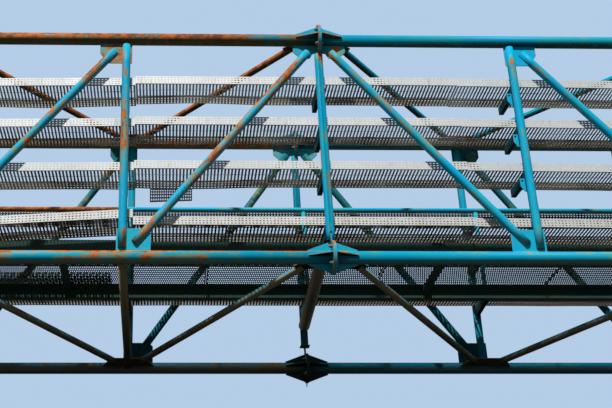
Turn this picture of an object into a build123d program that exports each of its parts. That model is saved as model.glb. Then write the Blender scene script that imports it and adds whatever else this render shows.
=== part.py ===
from build123d import *
import math
import os

# Steel service footbridge: a box of round tubes with a perforated walkway and rows of cable trays.
# Millimetres. X runs along the bridge, Y from the front truss to the rear truss, Z up.
# The origin is on the ground under the middle of the bridge.

# Flat sides of the round pieces that repeat
CHORD_SIDES = 20
MEMBER_SIDES = 8
DISC_SIDES = 16

# Overall sizes
BAY = 2100
BAYS_EACH_SIDE = 3
TRUSS_GAP = 2375
FRONT_HEIGHT = 2580
REAR_DROP = 420
REAR_AXIS_HEIGHT = 250

# Chord tubes
CHORD_OD = 133
CHORD_WALL = 6

# Posts, diagonals and bracing
WEB_OD = 89
WEB_WALL = 5
WEB_SETBACK = 200
POST_TOP_GAP = 12
POST_FOOT_GAP = 35
BRACE_OD = 76
BRACE_WALL = 5
BRACE_SHIFT = 150
CUT_OVERRUN = 10

# Flanged joints
FLANGE_OD = 350
FLANGE_THICK = 18
BOLT_EDGE = 50
BOLT_HOLE = 26
BOLT_COUNT = 4
RIB_LENGTH = 250
RIB_THICK = 12
RIB_TOE = 14
RIB_RIM_STEP = 6
LUG_WIDTH = 60
LUG_LENGTH = 95
LUG_ROOT = 12
LUG_GAP = 8

# Gusset plates, sized from the node: along the chord and away from its axis
GUSSET_THICK = 12
GUSSET_BACK = 62
GUSSET_REACH = 285
GUSSET_DEPTH = 310
GUSSET_TOP_CUT = 85
GUSSET_TOP_CHAMFER = 130
GUSSET_FOOT_CHAMFER = 45
BRACE_PLATE_REACH = 300
BRACE_PLATE_DEPTH = 255
BRACE_PLATE_CHAMFER = 110
SLOT_CLEARANCE = 0.5
SLOT_RUNOUT = 4

# Gussets that the ribs of a flanged joint grow into
JOINT_GUSSET_SHOULDER = (103, 229)
JOINT_GUSSET_PEAK = (188, 248)
JOINT_GUSSET_NOSE = 155
JOINT_BRACE_START = (30, 25)
JOINT_BRACE_PEAK = (180, 60)
JOINT_BRACE_NOSE = (230, -25)
JOINT_BRACE_FOOT = 130

# Cross struts
STRUT_OD = 133
STRUT_WALL = 6
STRUT_SKEW = 110
STRUT_REAR_RISE = 90
SMALL_STRUT_BAY = -1

# Hanger under the middle rear post
HANGER_HEIGHT = 262
HANGER_PLATE = 112
HANGER_PLATE_THICK = 10
HANGER_ROD = 24
HANGER_NUT = 36
HANGER_NUT_HEIGHT = 17

# Cable trays
TRAY_SHEET = 2
TRAY_WALL = 95
FRONT_TRAY_WIDTH = 440
REAR_TRAY_WIDTH = 330
TRAY_POST_GAP = 30
REAR_TRAY_POST_GAP = 15
FRONT_TRAY_LEVELS = [2063, 1558, 1032, 390]
REAR_TRAY_LEVELS = [1365, 850, 340]
TRAY_SECTION = 3500
TRAY_SEAM_SHIFT = 1500
TRAY_SEAM_GAP = 4
TRAY_END_GAP = 30
TRAY_MIN_SECTION = 50

# How the front sections hang outside the middle one: a step at its seam, and a fall for each metre on
LEFT_STEP = 22
LEFT_FALL = 12
RIGHT_STEP = 8
RIGHT_FALL = 9

# The lowest front row is bent up off its bracket, left of the middle section
BENT_STEP = 5
BENT_FROM = 1400
BENT_RISE = 85

# A narrow section that lies loose on the walkway
LOOSE_WIDTH = 230
LOOSE_WALL = 60
LOOSE_START = -5200
LOOSE_END = -2290
LOOSE_RAIL_GAP = 67

# Bracket arms
ARM_FOOT_WIDTH = 64
ARM_FOOT_HEIGHT = 150
ARM_FOOT_THICK = 8
ARM_WIDTH = 50
ARM_SHEET = 6
ARM_ROOT_DEPTH = 112
ARM_TIP_DEPTH = 85
ARM_TIP_PAST_TRAY = 22
REAR_ARM_TIP_PAST_TRAY = 8
SEAT_GAP = 0.2
FACE_GAP = 0.3

# Walkway
BEAM_DEPTH = 175
BEAM_FLANGE = 75
BEAM_WEB = 8
BEAM_FLANGE_THICK = 10
BEAM_TOP = 445
NEAR_BEAM_INSET = 600
FAR_BEAM_INSET = 420
BEAM_END_GAP = 12
JOIST_PITCH = 4200
JOIST_SHIFT = 1400
JOIST_WIDTH = 80
JOIST_DEPTH = 50
JOIST_WALL = 6
FLOOR_SHEET = 4
FLOOR_PANEL = 2000
FLOOR_SEAM_SHIFT = 800
FLOOR_SEAM_GAP = 4
FLOOR_MIN_PANEL = 50

# Handrail
RAIL_OD = 60
RAIL_WALL = 4
RAIL_POST_OD = 48
RAIL_POST_WALL = 4
RAIL_HEIGHT = 1010
RAIL_INSET = 30

# Bearing feet
FOOT_INSET = 450
FOOT_OD = 114
FOOT_WALL = 8
FOOT_PLATE = 280
FOOT_PLATE_THICK = 20
FOOT_HOLE = 22
FOOT_HOLES = 2
FOOT_HOLE_CIRCLE = 300
FOOT_HOLE_TURN = 45
SADDLE_THICK = 12
SADDLE_WIDTH = 120
SADDLE_HEIGHT = 45
SADDLE_LENGTH = 160

# Positions that follow
HALF = BAYS_EACH_SIDE * BAY
BAYS = range(-BAYS_EACH_SIDE, BAYS_EACH_SIDE + 1)
CHORD_R = CHORD_OD / 2
CHORD_FLATS = CHORD_OD * math.cos(math.pi / CHORD_SIDES)
WEB_R = WEB_OD / 2
FLANGE_R = FLANGE_OD / 2
RIM_R = FLANGE_R - RIB_RIM_STEP
BOLT_CIRCLE = FLANGE_OD - 2 * BOLT_EDGE
Y_FRONT = -TRUSS_GAP / 2
Y_REAR = TRUSS_GAP / 2
Z_REAR_BOTTOM = REAR_AXIS_HEIGHT
Z_FRONT_BOTTOM = REAR_AXIS_HEIGHT + REAR_DROP
Z_TOP = Z_FRONT_BOTTOM + FRONT_HEIGHT
LUG_MID = FLANGE_THICK / 2
Y_NEAR_BEAM = Y_FRONT + NEAR_BEAM_INSET
Y_FAR_BEAM = Y_REAR - FAR_BEAM_INSET
Z_BEAM_TOP = Z_FRONT_BOTTOM + BEAM_TOP
Z_DECK = Z_BEAM_TOP + FLOOR_SHEET
ALONG = Vector(1, 0, 0)

UP = Vector(0, 0, 1)
DOWN = Vector(0, 0, -1)
BACK = Vector(0, 1, 0)
FRONT = Vector(0, -1, 0)
FLOOR_SLOPE = Vector(0, TRUSS_GAP, -REAR_DROP).normalized()

CHORDS = {
    "front_top": (Y_FRONT, Z_TOP),
    "front_bottom": (Y_FRONT, Z_FRONT_BOTTOM),
    "rear_top": (Y_REAR, Z_TOP),
    "rear_bottom": (Y_REAR, Z_REAR_BOTTOM),
}


def post_x(bay):
    """Posts at the flanged frames stand on the lug of one flange plate."""
    if bay == 0:
        return -LUG_MID
    if abs(bay) == BAYS_EACH_SIDE:
        return math.copysign(HALF - LUG_MID, bay)
    return bay * BAY


def node(chord, bay):
    y, z = CHORDS[chord]
    return Vector(bay * BAY, y, z)


def flat_sided(radius, sides):
    """A circle drawn with flat sides, one of them square to X, its size true across the flats."""
    return RegularPolygon(radius, sides, major_radius=False, rotation=180 / sides)


def ring(od, wall, length, sides):
    return extrude(flat_sided(od / 2, sides) - flat_sided(od / 2 - wall, sides), length)


def tube(start, end, od, wall, side=BACK, slots=(0, 0), slot_width=0, sides=MEMBER_SIDES):
    """A tube, square cut, with a slot of the given depth at either end."""
    axis = (end - start).normalized()
    length = (end - start).length
    body = ring(od, wall, length, sides)
    for depth, at in zip(slots, (0, length)):
        if depth > 0:
            body -= Pos(0, 0, at) * Box(slot_width, od + CUT_OVERRUN, 2 * depth)
    return Plane(origin=start, x_dir=side, z_dir=axis) * body


def flat_plate(origin, along, away, outline, thick):
    """A plate that holds the directions along and away, centred on its plane."""
    face = make_face(Polyline(*outline, close=True))
    plane = Plane(origin=origin, x_dir=along, z_dir=along.cross(away))
    return plane * extrude(face, amount=thick / 2, both=True)


def reach_along(outline, at, direction, half_width):
    """How far a plate reaches along a tube's axis, within the tube's width."""
    steps = 40
    best = 0
    for (ax, ay), (bx, by) in zip(outline, outline[1:] + outline[:1]):
        for step in range(steps + 1):
            x = ax + (bx - ax) * step / steps - at[0]
            y = ay + (by - ay) * step / steps - at[1]
            if abs(x * direction[1] - y * direction[0]) <= half_width + SLOT_RUNOUT:
                best = max(best, x * direction[0] + y * direction[1])
    return best


# Plate outlines

RIB_OUTLINE = [
    (FLANGE_THICK, CHORD_R),
    (FLANGE_THICK, RIM_R),
    (RIB_LENGTH, CHORD_R + RIB_TOE),
    (RIB_LENGTH, CHORD_R),
]
JOINT_GUSSET = [
    (FLANGE_THICK, CHORD_R),
    (FLANGE_THICK, RIM_R),
    (LUG_MID + WEB_R + POST_TOP_GAP, RIM_R),
    JOINT_GUSSET_SHOULDER,
    JOINT_GUSSET_PEAK,
    (GUSSET_REACH, JOINT_GUSSET_NOSE),
    (GUSSET_REACH, CHORD_R),
]
JOINT_BRACE_PLATE = [
    (FLANGE_THICK, CHORD_R),
    (FLANGE_THICK, RIM_R),
    (BRACE_SHIFT + JOINT_BRACE_START[0], FLANGE_R + JOINT_BRACE_START[1]),
    (BRACE_SHIFT + JOINT_BRACE_PEAK[0], FLANGE_R + JOINT_BRACE_PEAK[1]),
    (BRACE_SHIFT + JOINT_BRACE_NOSE[0], FLANGE_R + JOINT_BRACE_NOSE[1]),
    (BRACE_SHIFT + JOINT_BRACE_FOOT, CHORD_R),
]
TOP_GUSSET = [
    (-GUSSET_BACK, CHORD_R),
    (-GUSSET_BACK, GUSSET_DEPTH),
    (GUSSET_REACH - GUSSET_TOP_CUT, GUSSET_DEPTH),
    (GUSSET_REACH, GUSSET_DEPTH - GUSSET_TOP_CHAMFER),
    (GUSSET_REACH, CHORD_R),
]
FOOT_GUSSET = [
    (-GUSSET_BACK, CHORD_R),
    (-GUSSET_BACK, GUSSET_DEPTH),
    (GUSSET_REACH - GUSSET_FOOT_CHAMFER, GUSSET_DEPTH),
    (GUSSET_REACH, GUSSET_DEPTH - GUSSET_FOOT_CHAMFER),
    (GUSSET_REACH, CHORD_R),
]
BRACE_PLATE = [
    (-BRACE_PLATE_REACH, CHORD_R),
    (-BRACE_PLATE_REACH + BRACE_PLATE_CHAMFER, BRACE_PLATE_DEPTH),
    (BRACE_PLATE_REACH - BRACE_PLATE_CHAMFER, BRACE_PLATE_DEPTH),
    (BRACE_PLATE_REACH, CHORD_R),
]


# Which plates the ribs of a flanged joint grow into

def joint_plates(chord, bay):
    middle = bay == 0
    plates = {}
    if chord == "front_top":
        sides = [UP, FRONT, DOWN, BACK]
        if middle:
            plates[2] = JOINT_GUSSET
            plates[3] = JOINT_BRACE_PLATE
    elif chord == "front_bottom":
        sides = [DOWN, FRONT, UP, FLOOR_SLOPE]
        if middle:
            plates[3] = JOINT_BRACE_PLATE
        else:
            plates[2] = JOINT_GUSSET
    elif chord == "rear_top":
        sides = [UP, BACK, DOWN, FRONT]
        if middle:
            plates[2] = JOINT_GUSSET
        else:
            plates[3] = JOINT_BRACE_PLATE
    else:
        sides = [DOWN, BACK, UP, FLOOR_SLOPE * -1]
        if not middle:
            plates[2] = JOINT_GUSSET
            plates[3] = JOINT_BRACE_PLATE
    return sides, plates


def half_joint(chord, bay, inward, with_lug):
    """A flange plate with four ribs, closing the end of a chord tube.

    Bolts fill the holes of the middle joints. The end plates are drilled for the next section.
    """
    origin = node(chord, bay)
    along = Vector(inward, 0, 0)
    sides, plates = joint_plates(chord, bay)
    disc = flat_sided(FLANGE_R, DISC_SIDES)
    if bay != 0:
        ring_of_holes = PolarLocations(BOLT_CIRCLE / 2, BOLT_COUNT, start_angle=180 / BOLT_COUNT)
        disc -= ring_of_holes * Circle(BOLT_HOLE / 2)
    body = Plane(origin=origin, x_dir=BACK, z_dir=along) * extrude(disc, FLANGE_THICK)
    if with_lug:
        half = LUG_WIDTH / 2
        root = FLANGE_R - LUG_ROOT
        end = FLANGE_R + LUG_LENGTH
        lug = [(-half, root), (half, root), (half, end), (-half, end)]
        body += flat_plate(origin + along * LUG_MID, BACK, sides[2], lug, FLANGE_THICK)
    for i, away in enumerate(sides):
        body += flat_plate(origin, along, away, plates.get(i, RIB_OUTLINE), RIB_THICK)
    return body


# Web members

def slotted_web(start_node, end_node, start_plate, end_plate, od, wall, normal, shift=(0, 0)):
    """A diagonal between two nodes, its ends slotted over their plates."""
    p0 = start_node + Vector(shift[0], 0, 0)
    p1 = end_node + Vector(shift[1], 0, 0)
    axis = (p1 - p0).normalized()
    a = p0 + axis * WEB_SETBACK
    b = p1 - axis * WEB_SETBACK
    depths = []
    for plate, base, tip, direction in (
        (start_plate, start_node, a, axis),
        (end_plate, end_node, b, axis * -1),
    ):
        along = math.copysign(1, direction.X)
        flat = Vector(0, direction.Y, direction.Z)
        local = (abs(direction.X), flat.length)
        offset = tip - base
        at = (offset.X * along, Vector(0, offset.Y, offset.Z).length)
        depths.append(reach_along(plate, at, local, od / 2) + SLOT_RUNOUT)
    width = GUSSET_THICK + 2 * SLOT_CLEARANCE
    return tube(a, b, od, wall, normal, tuple(depths), width)


def truss_web(top, bottom):
    """Posts and diagonals of one truss, all leaning away from mid span going down."""
    posts = []
    diagonals = []
    for bay in BAYS:
        x = post_x(bay)
        y, z_high = CHORDS[top]
        z_low = CHORDS[bottom][1]
        flanged = bay == 0 or abs(bay) == BAYS_EACH_SIDE
        if flanged:
            high = Vector(x, y, z_high - FLANGE_R - LUG_GAP)
            low = Vector(x, y, z_low + FLANGE_R + LUG_GAP)
            slot = LUG_LENGTH - LUG_GAP + SLOT_RUNOUT
            width = FLANGE_THICK + 2 * SLOT_CLEARANCE
            if bottom == "rear_bottom" and bay == 0:
                low = Vector(x, y, z_low + HANGER_HEIGHT + HANGER_PLATE_THICK)
                posts.append(tube(low, high, WEB_OD, WEB_WALL, ALONG, (0, slot), width))
            else:
                posts.append(tube(low, high, WEB_OD, WEB_WALL, ALONG, (slot, slot), width))
        else:
            high = Vector(x, y, z_high - CHORD_R - POST_TOP_GAP)
            low = Vector(x, y, z_low + CHORD_R + POST_FOOT_GAP)
            width = GUSSET_THICK + 2 * SLOT_CLEARANCE
            top_slot = GUSSET_DEPTH - CHORD_R - POST_TOP_GAP + SLOT_RUNOUT
            low_slot = GUSSET_DEPTH - CHORD_R - POST_FOOT_GAP + SLOT_RUNOUT
            posts.append(tube(low, high, WEB_OD, WEB_WALL, BACK, (low_slot, top_slot), width))
        if abs(bay) < BAYS_EACH_SIDE:
            for way in ((-1, 1) if bay == 0 else (math.copysign(1, bay),)):
                start = node(top, bay)
                end = node(bottom, bay + way)
                outer = abs(bay + way) == BAYS_EACH_SIDE
                start_plate = JOINT_GUSSET if bay == 0 else TOP_GUSSET
                end_plate = JOINT_GUSSET if outer else FOOT_GUSSET
                diagonals.append(
                    slotted_web(start, end, start_plate, end_plate, WEB_OD, WEB_WALL, BACK)
                )
    return posts, diagonals


def truss_gussets(top, bottom):
    plates = []
    for bay in range(-BAYS_EACH_SIDE + 1, BAYS_EACH_SIDE):
        if bay == 0:
            continue
        out = Vector(math.copysign(1, bay), 0, 0)
        plates.append(flat_plate(node(top, bay), out, DOWN, TOP_GUSSET, GUSSET_THICK))
        plates.append(flat_plate(node(bottom, bay), out * -1, UP, FOOT_GUSSET, GUSSET_THICK))
    return plates


def bracing(front, rear, away):
    """A zigzag from the front chord's even nodes to the rear chord's odd nodes."""
    tubes = []
    plates = []
    normal = ALONG.cross(away)
    for bay in range(-BAYS_EACH_SIDE + 1, BAYS_EACH_SIDE):
        if bay % 2 == 0:
            if bay != 0:
                plates.append(flat_plate(node(front, bay), ALONG, away, BRACE_PLATE, GUSSET_THICK))
            for way in (-1, 1):
                outer = abs(bay + way) == BAYS_EACH_SIDE
                start_plate = JOINT_BRACE_PLATE if bay == 0 else BRACE_PLATE
                end_plate = JOINT_BRACE_PLATE if outer else BRACE_PLATE
                shift = (BRACE_SHIFT * way if bay == 0 else 0, -BRACE_SHIFT * way if outer else 0)
                tubes.append(
                    slotted_web(
                        node(front, bay),
                        node(rear, bay + way),
                        start_plate,
                        end_plate,
                        BRACE_OD,
                        BRACE_WALL,
                        normal,
                        shift,
                    )
                )
        else:
            plates.append(flat_plate(node(rear, bay), ALONG, away * -1, BRACE_PLATE, GUSSET_THICK))
    return tubes, plates


# Cross struts

def cross_struts():
    struts = []
    normal = ALONG.cross(FLOOR_SLOPE)
    width = GUSSET_THICK + 2 * SLOT_CLEARANCE
    corner = STRUT_OD / 2 / math.cos(math.pi / MEMBER_SIDES)
    post_flat = WEB_R * math.tan(math.pi / MEMBER_SIDES)
    for bay in (-BAYS_EACH_SIDE, 0, BAYS_EACH_SIDE):
        inward = -1 if bay >= 0 else 1
        base = node("front_bottom", bay) + Vector(inward * STRUT_SKEW, 0, 0)
        start = base + FLOOR_SLOPE * (CHORD_R + POST_FOOT_GAP)
        end = Vector(post_x(bay), Y_REAR - WEB_R, Z_FRONT_BOTTOM + STRUT_REAR_RISE)
        lean = end - start
        end.Y -= (abs(lean.X) * post_flat + abs(lean.Z) * corner) / lean.Y + FACE_GAP
        plate = JOINT_BRACE_PLATE if bay == 0 else RIB_OUTLINE
        depth = max(v for u, v in plate) - CHORD_R - POST_FOOT_GAP + SLOT_RUNOUT
        slot = Plane(origin=start, x_dir=normal, z_dir=FLOOR_SLOPE) * Box(width, 2 * STRUT_OD, 2 * depth)
        struts.append(tube(start, end, STRUT_OD, STRUT_WALL, ALONG) - slot)
    start = node("front_bottom", SMALL_STRUT_BAY) + FLOOR_SLOPE * (CHORD_R + FACE_GAP)
    end = node("rear_bottom", SMALL_STRUT_BAY) - FLOOR_SLOPE * (CHORD_R + POST_TOP_GAP)
    slot = BRACE_PLATE_DEPTH - CHORD_R - POST_TOP_GAP + SLOT_RUNOUT
    struts.append(tube(start, end, WEB_OD, WEB_WALL, normal, (0, slot), width))
    return struts


def hanger():
    """A square plate under the middle rear post, on a threaded rod with a nut."""
    z = Z_REAR_BOTTOM + HANGER_HEIGHT
    rod_length = HANGER_HEIGHT - FLANGE_R
    plate = Pos(0, 0, HANGER_PLATE_THICK / 2) * Box(HANGER_PLATE, HANGER_PLATE, HANGER_PLATE_THICK)
    rod = extrude(flat_sided(HANGER_ROD / 2, MEMBER_SIDES), -rod_length)
    nut = extrude(flat_sided(HANGER_NUT / 2, 6), -HANGER_NUT_HEIGHT)
    return Pos(post_x(0), Y_REAR, z) * (plate + rod + nut)


# Cable trays and their arms

def tray_seams():
    first = -HALF + TRAY_END_GAP
    last = HALF - TRAY_END_GAP
    x = TRAY_SEAM_SHIFT - TRAY_SECTION * math.ceil((TRAY_SEAM_SHIFT - first) / TRAY_SECTION)
    cuts = [first]
    while x < last - TRAY_MIN_SECTION:
        if x > first + TRAY_MIN_SECTION:
            cuts.append(x)
        x += TRAY_SECTION
    return cuts + [last]


LEFT_SEAM = max(x for x in tray_seams() if x < 0)
RIGHT_SEAM = min(x for x in tray_seams() if x > 0)
BENT_X = LEFT_SEAM - BENT_FROM


def straight_line(x):
    return 0


def sagging_line(x):
    if x < LEFT_SEAM:
        return -LEFT_STEP - LEFT_FALL * (LEFT_SEAM - x) / 1000
    if x > RIGHT_SEAM:
        return -RIGHT_STEP - RIGHT_FALL * (x - RIGHT_SEAM) / 1000
    return 0


def bent_line(x):
    if x >= LEFT_SEAM:
        return sagging_line(x)
    return -BENT_STEP + BENT_RISE * max(0, x - BENT_X) / BENT_FROM


def strip(points, height, width, y):
    """A strip of sheet that follows points along X, as deep as height and as wide as width in Y."""
    outline = points + [(x, z + height) for x, z in reversed(points)]
    face = make_face(Polyline(*outline, close=True))
    return Plane(origin=(0, y, 0), x_dir=ALONG, z_dir=FRONT) * extrude(face, -width)


def trough(points, y_near, width, wall):
    body = strip(points, TRAY_SHEET, width, y_near)
    body += strip(points, wall, TRAY_SHEET, y_near)
    body += strip(points, wall, TRAY_SHEET, y_near + width - TRAY_SHEET)
    return body


def tray(y_near, width, level, line):
    """Sections of a sheet trough, each hung at the height that the line gives its ends."""
    sections = []
    cuts = tray_seams()
    for x0, x1 in zip(cuts[:-1], cuts[1:]):
        xs = [x0 + TRAY_SEAM_GAP / 2, x1 - TRAY_SEAM_GAP / 2]
        if line is bent_line and xs[0] < BENT_X < xs[1]:
            xs.insert(1, BENT_X)
        points = [(x, Z_FRONT_BOTTOM + level + line(x)) for x in xs]
        sections.append(trough(points, y_near, width, TRAY_WALL))
    return sections


def arm_top(x, line):
    """An arm carries the lower side of a sloping tray. Under the bent section it stays at the row's level."""
    if line is bent_line and BENT_X < x < LEFT_SEAM:
        return 0
    half = ARM_WIDTH / 2
    return min(line(x - half), line(x + half))


def arm(x, y_post, way, level, tip):
    """A tapered arm folded from sheet, closed at its tip and open below, on a foot plate."""
    top = Z_FRONT_BOTTOM + level
    y0 = y_post + way * (WEB_R + SEAT_GAP)
    y1 = y0 + way * ARM_FOOT_THICK
    foot_mid = (y0 + y1) / 2
    foot = Pos(x, foot_mid, top - ARM_FOOT_HEIGHT / 2) * Box(ARM_FOOT_WIDTH, ARM_FOOT_THICK, ARM_FOOT_HEIGHT)
    reach = abs(tip - y1)
    outline = [
        (0, 0),
        (reach, 0),
        (reach, -ARM_TIP_DEPTH),
        (0, -ARM_ROOT_DEPTH),
    ]
    face = make_face(Polyline(*outline, close=True))
    plane = Plane(origin=(x, y1, top), x_dir=Vector(0, way, 0), z_dir=Vector(way, 0, 0))
    body = extrude(face, amount=ARM_WIDTH / 2, both=True)
    hollow = Rectangle(reach - ARM_SHEET, ARM_ROOT_DEPTH, align=(Align.MIN, Align.MAX))
    body -= extrude(Pos(0, -ARM_SHEET) * hollow, amount=ARM_WIDTH / 2 - ARM_SHEET, both=True)
    return foot + plane * body


# Walkway

def channel(depth, flange, web, flange_thick, length):
    """A channel along Z, its back on X = 0 and its toes towards +X."""
    outer = Rectangle(flange, depth, align=(Align.MIN, Align.CENTER))
    inner = Pos(web, 0) * Rectangle(flange, depth - 2 * flange_thick, align=(Align.MIN, Align.CENTER))
    return extrude(outer - inner, length)


def walkway_beam(y_back, toes):
    length = 2 * HALF - 2 * BEAM_END_GAP
    body = channel(BEAM_DEPTH, BEAM_FLANGE, BEAM_WEB, BEAM_FLANGE_THICK, length)
    start = (-HALF + BEAM_END_GAP, y_back, Z_BEAM_TOP - BEAM_DEPTH / 2)
    return Plane(origin=start, x_dir=toes, z_dir=ALONG) * body


def joists():
    """Small channels between the beams, just under their top flanges."""
    bars = []
    y0 = Y_NEAR_BEAM + BEAM_WEB + FACE_GAP
    y1 = Y_FAR_BEAM - BEAM_WEB - FACE_GAP
    z = Z_BEAM_TOP - BEAM_FLANGE_THICK - JOIST_DEPTH - FACE_GAP
    last = HALF - JOIST_WIDTH
    x = JOIST_SHIFT - JOIST_PITCH * ((last + JOIST_SHIFT) // JOIST_PITCH)
    while x < last:
        body = channel(JOIST_WIDTH, JOIST_DEPTH, JOIST_WALL, JOIST_WALL, y1 - y0)
        bars.append(Plane(origin=(x, y0, z), x_dir=UP, z_dir=BACK) * body)
        x += JOIST_PITCH
    return bars


def floor_panels():
    panels = []
    first = -HALF + BEAM_END_GAP
    last = HALF - BEAM_END_GAP
    x = FLOOR_SEAM_SHIFT - FLOOR_PANEL * math.ceil((FLOOR_SEAM_SHIFT + HALF) / FLOOR_PANEL)
    edges = [first]
    while x < last - FLOOR_MIN_PANEL:
        if x > first + FLOOR_MIN_PANEL:
            edges.append(x)
        x += FLOOR_PANEL
    edges.append(last)
    middle = (Y_NEAR_BEAM + Y_FAR_BEAM) / 2
    for x0, x1 in zip(edges[:-1], edges[1:]):
        panel = Box(x1 - x0 - FLOOR_SEAM_GAP, Y_FAR_BEAM - Y_NEAR_BEAM, FLOOR_SHEET)
        panels.append(Pos((x0 + x1) / 2, middle, Z_BEAM_TOP + FLOOR_SHEET / 2) * panel)
    return panels


def loose_tray():
    y_far = Y_FAR_BEAM - LOOSE_RAIL_GAP
    points = [(LOOSE_START, Z_DECK), (LOOSE_END, Z_DECK)]
    return trough(points, y_far - LOOSE_WIDTH, LOOSE_WIDTH, LOOSE_WALL)


def handrail():
    y = Y_FAR_BEAM - RAIL_INSET
    z = Z_DECK + RAIL_HEIGHT - RAIL_OD / 2
    reach = HALF - BEAM_END_GAP
    rail = tube(Vector(-reach, y, z), Vector(reach, y, z), RAIL_OD, RAIL_WALL)
    top = z - RAIL_OD / 2
    posts = []
    for bay in BAYS:
        x = bay * BAY
        if abs(bay) == BAYS_EACH_SIDE:
            x -= math.copysign(RAIL_OD, bay)
        posts.append(tube(Vector(x, y, Z_DECK), Vector(x, y, top), RAIL_POST_OD, RAIL_POST_WALL))
    return rail, posts


# Bearing feet

def feet(chord):
    """A drilled base plate, a stub tube and a hollowed saddle under the chord."""
    y, z = CHORDS[chord]
    seat = z - CHORD_FLATS / 2 - SEAT_GAP - SADDLE_THICK
    holes = PolarLocations(FOOT_HOLE_CIRCLE / 2, FOOT_HOLES, start_angle=FOOT_HOLE_TURN)
    base = Rectangle(FOOT_PLATE, FOOT_PLATE) - holes * Circle(FOOT_HOLE / 2)
    plate = extrude(base, FOOT_PLATE_THICK)
    stub = Pos(0, 0, FOOT_PLATE_THICK) * ring(FOOT_OD, FOOT_WALL, seat - FOOT_PLATE_THICK, MEMBER_SIDES)
    block = Pos(0, seat) * Rectangle(SADDLE_WIDTH, SADDLE_HEIGHT, align=(Align.CENTER, Align.MIN))
    block -= Pos(0, z) * flat_sided(CHORD_FLATS / 2 + SEAT_GAP, CHORD_SIDES)
    saddle = Plane(origin=(-SADDLE_LENGTH / 2, 0, 0), x_dir=BACK, z_dir=ALONG) * extrude(block, SADDLE_LENGTH)
    return [Pos(side * (HALF - FOOT_INSET), y, 0) * (plate + stub + saddle) for side in (-1, 1)]


# Every node and the solids in it

nodes = {}

for name, (y, z) in CHORDS.items():
    for side, way in (("left", -1), ("right", 1)):
        start = Vector(way * FLANGE_THICK, y, z)
        end = Vector(way * (HALF - FLANGE_THICK), y, z)
        nodes[f"{name}_chord_{side}"] = [tube(start, end, CHORD_FLATS, CHORD_WALL, sides=CHORD_SIDES)]
    nodes[f"{name}_flange_joints"] = [
        half_joint(name, 0, -1, name != "rear_bottom"),
        half_joint(name, 0, 1, False),
        half_joint(name, -BAYS_EACH_SIDE, 1, True),
        half_joint(name, BAYS_EACH_SIDE, -1, True),
    ]

for side in ("front", "rear"):
    posts, diagonals = truss_web(f"{side}_top", f"{side}_bottom")
    nodes[f"{side}_posts"] = posts
    nodes[f"{side}_diagonals"] = diagonals
    nodes[f"{side}_gusset_plates"] = truss_gussets(f"{side}_top", f"{side}_bottom")

for level, front, rear, away in (
    ("top", "front_top", "rear_top", BACK),
    ("bottom", "front_bottom", "rear_bottom", FLOOR_SLOPE),
):
    tubes, plates = bracing(front, rear, away)
    nodes[f"{level}_bracing"] = tubes
    nodes[f"{level}_bracing_plates"] = plates

nodes["cross_struts"] = cross_struts()
nodes["middle_post_hanger"] = [hanger()]

for i, level in enumerate(FRONT_TRAY_LEVELS):
    lowest = i == len(FRONT_TRAY_LEVELS) - 1
    line = bent_line if lowest else sagging_line
    near = Y_FRONT + WEB_R + TRAY_POST_GAP
    tip = Y_NEAR_BEAM - FACE_GAP if lowest else near + FRONT_TRAY_WIDTH + ARM_TIP_PAST_TRAY
    nodes[f"front_tray_{i + 1}"] = tray(near, FRONT_TRAY_WIDTH, level, line)
    nodes[f"front_tray_arms_{i + 1}"] = [
        arm(post_x(bay), Y_FRONT, 1, level + arm_top(post_x(bay), line), tip) for bay in BAYS
    ]

for i, level in enumerate(REAR_TRAY_LEVELS):
    lowest = i == len(REAR_TRAY_LEVELS) - 1
    near = Y_REAR - WEB_R - REAR_TRAY_POST_GAP - REAR_TRAY_WIDTH
    tip = Y_FAR_BEAM + FACE_GAP if lowest else near - REAR_ARM_TIP_PAST_TRAY
    nodes[f"rear_tray_{i + 1}"] = tray(near, REAR_TRAY_WIDTH, level, straight_line)
    nodes[f"rear_tray_arms_{i + 1}"] = [arm(post_x(bay), Y_REAR, -1, level, tip) for bay in BAYS]

nodes["walkway_near_beam"] = [walkway_beam(Y_NEAR_BEAM, BACK)]
nodes["walkway_far_beam"] = [walkway_beam(Y_FAR_BEAM, FRONT)]
nodes["walkway_joists"] = joists()
nodes["walkway_floor"] = floor_panels()
nodes["loose_tray_on_deck"] = [loose_tray()]
rail, rail_posts = handrail()
nodes["handrail"] = [rail]
nodes["handrail_posts"] = rail_posts
nodes["front_bearing_feet"] = feet("front_bottom")
nodes["rear_bearing_feet"] = feet("rear_bottom")

os.makedirs("parts", exist_ok=True)
for name, bodies in nodes.items():
    solids = [solid for body in bodies for solid in body.solids()]
    shape = solids[0] if len(solids) == 1 else Compound(children=solids)
    export_step(shape, f"parts/{name}.step")
    print(name, len(solids), "solids")
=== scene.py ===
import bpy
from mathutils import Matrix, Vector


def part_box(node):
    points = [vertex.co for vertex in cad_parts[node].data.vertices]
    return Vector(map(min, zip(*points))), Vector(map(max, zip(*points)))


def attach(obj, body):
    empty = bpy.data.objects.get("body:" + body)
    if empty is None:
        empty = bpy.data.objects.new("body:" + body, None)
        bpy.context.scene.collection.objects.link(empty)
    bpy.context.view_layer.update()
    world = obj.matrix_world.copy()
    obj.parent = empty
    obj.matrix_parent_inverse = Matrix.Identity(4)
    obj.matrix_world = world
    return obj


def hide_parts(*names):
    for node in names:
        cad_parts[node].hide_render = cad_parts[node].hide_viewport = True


bl_info = {
    "name": "Footbridge Section",
    "version": (1, 0, 0),
    "blender": (4, 5, 0),
    "location": "View3D > Sidebar > Footbridge",
    "description": "Finish and fine detail of a tubular footbridge with cable trays",
    "category": "Add Mesh",
}

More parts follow.
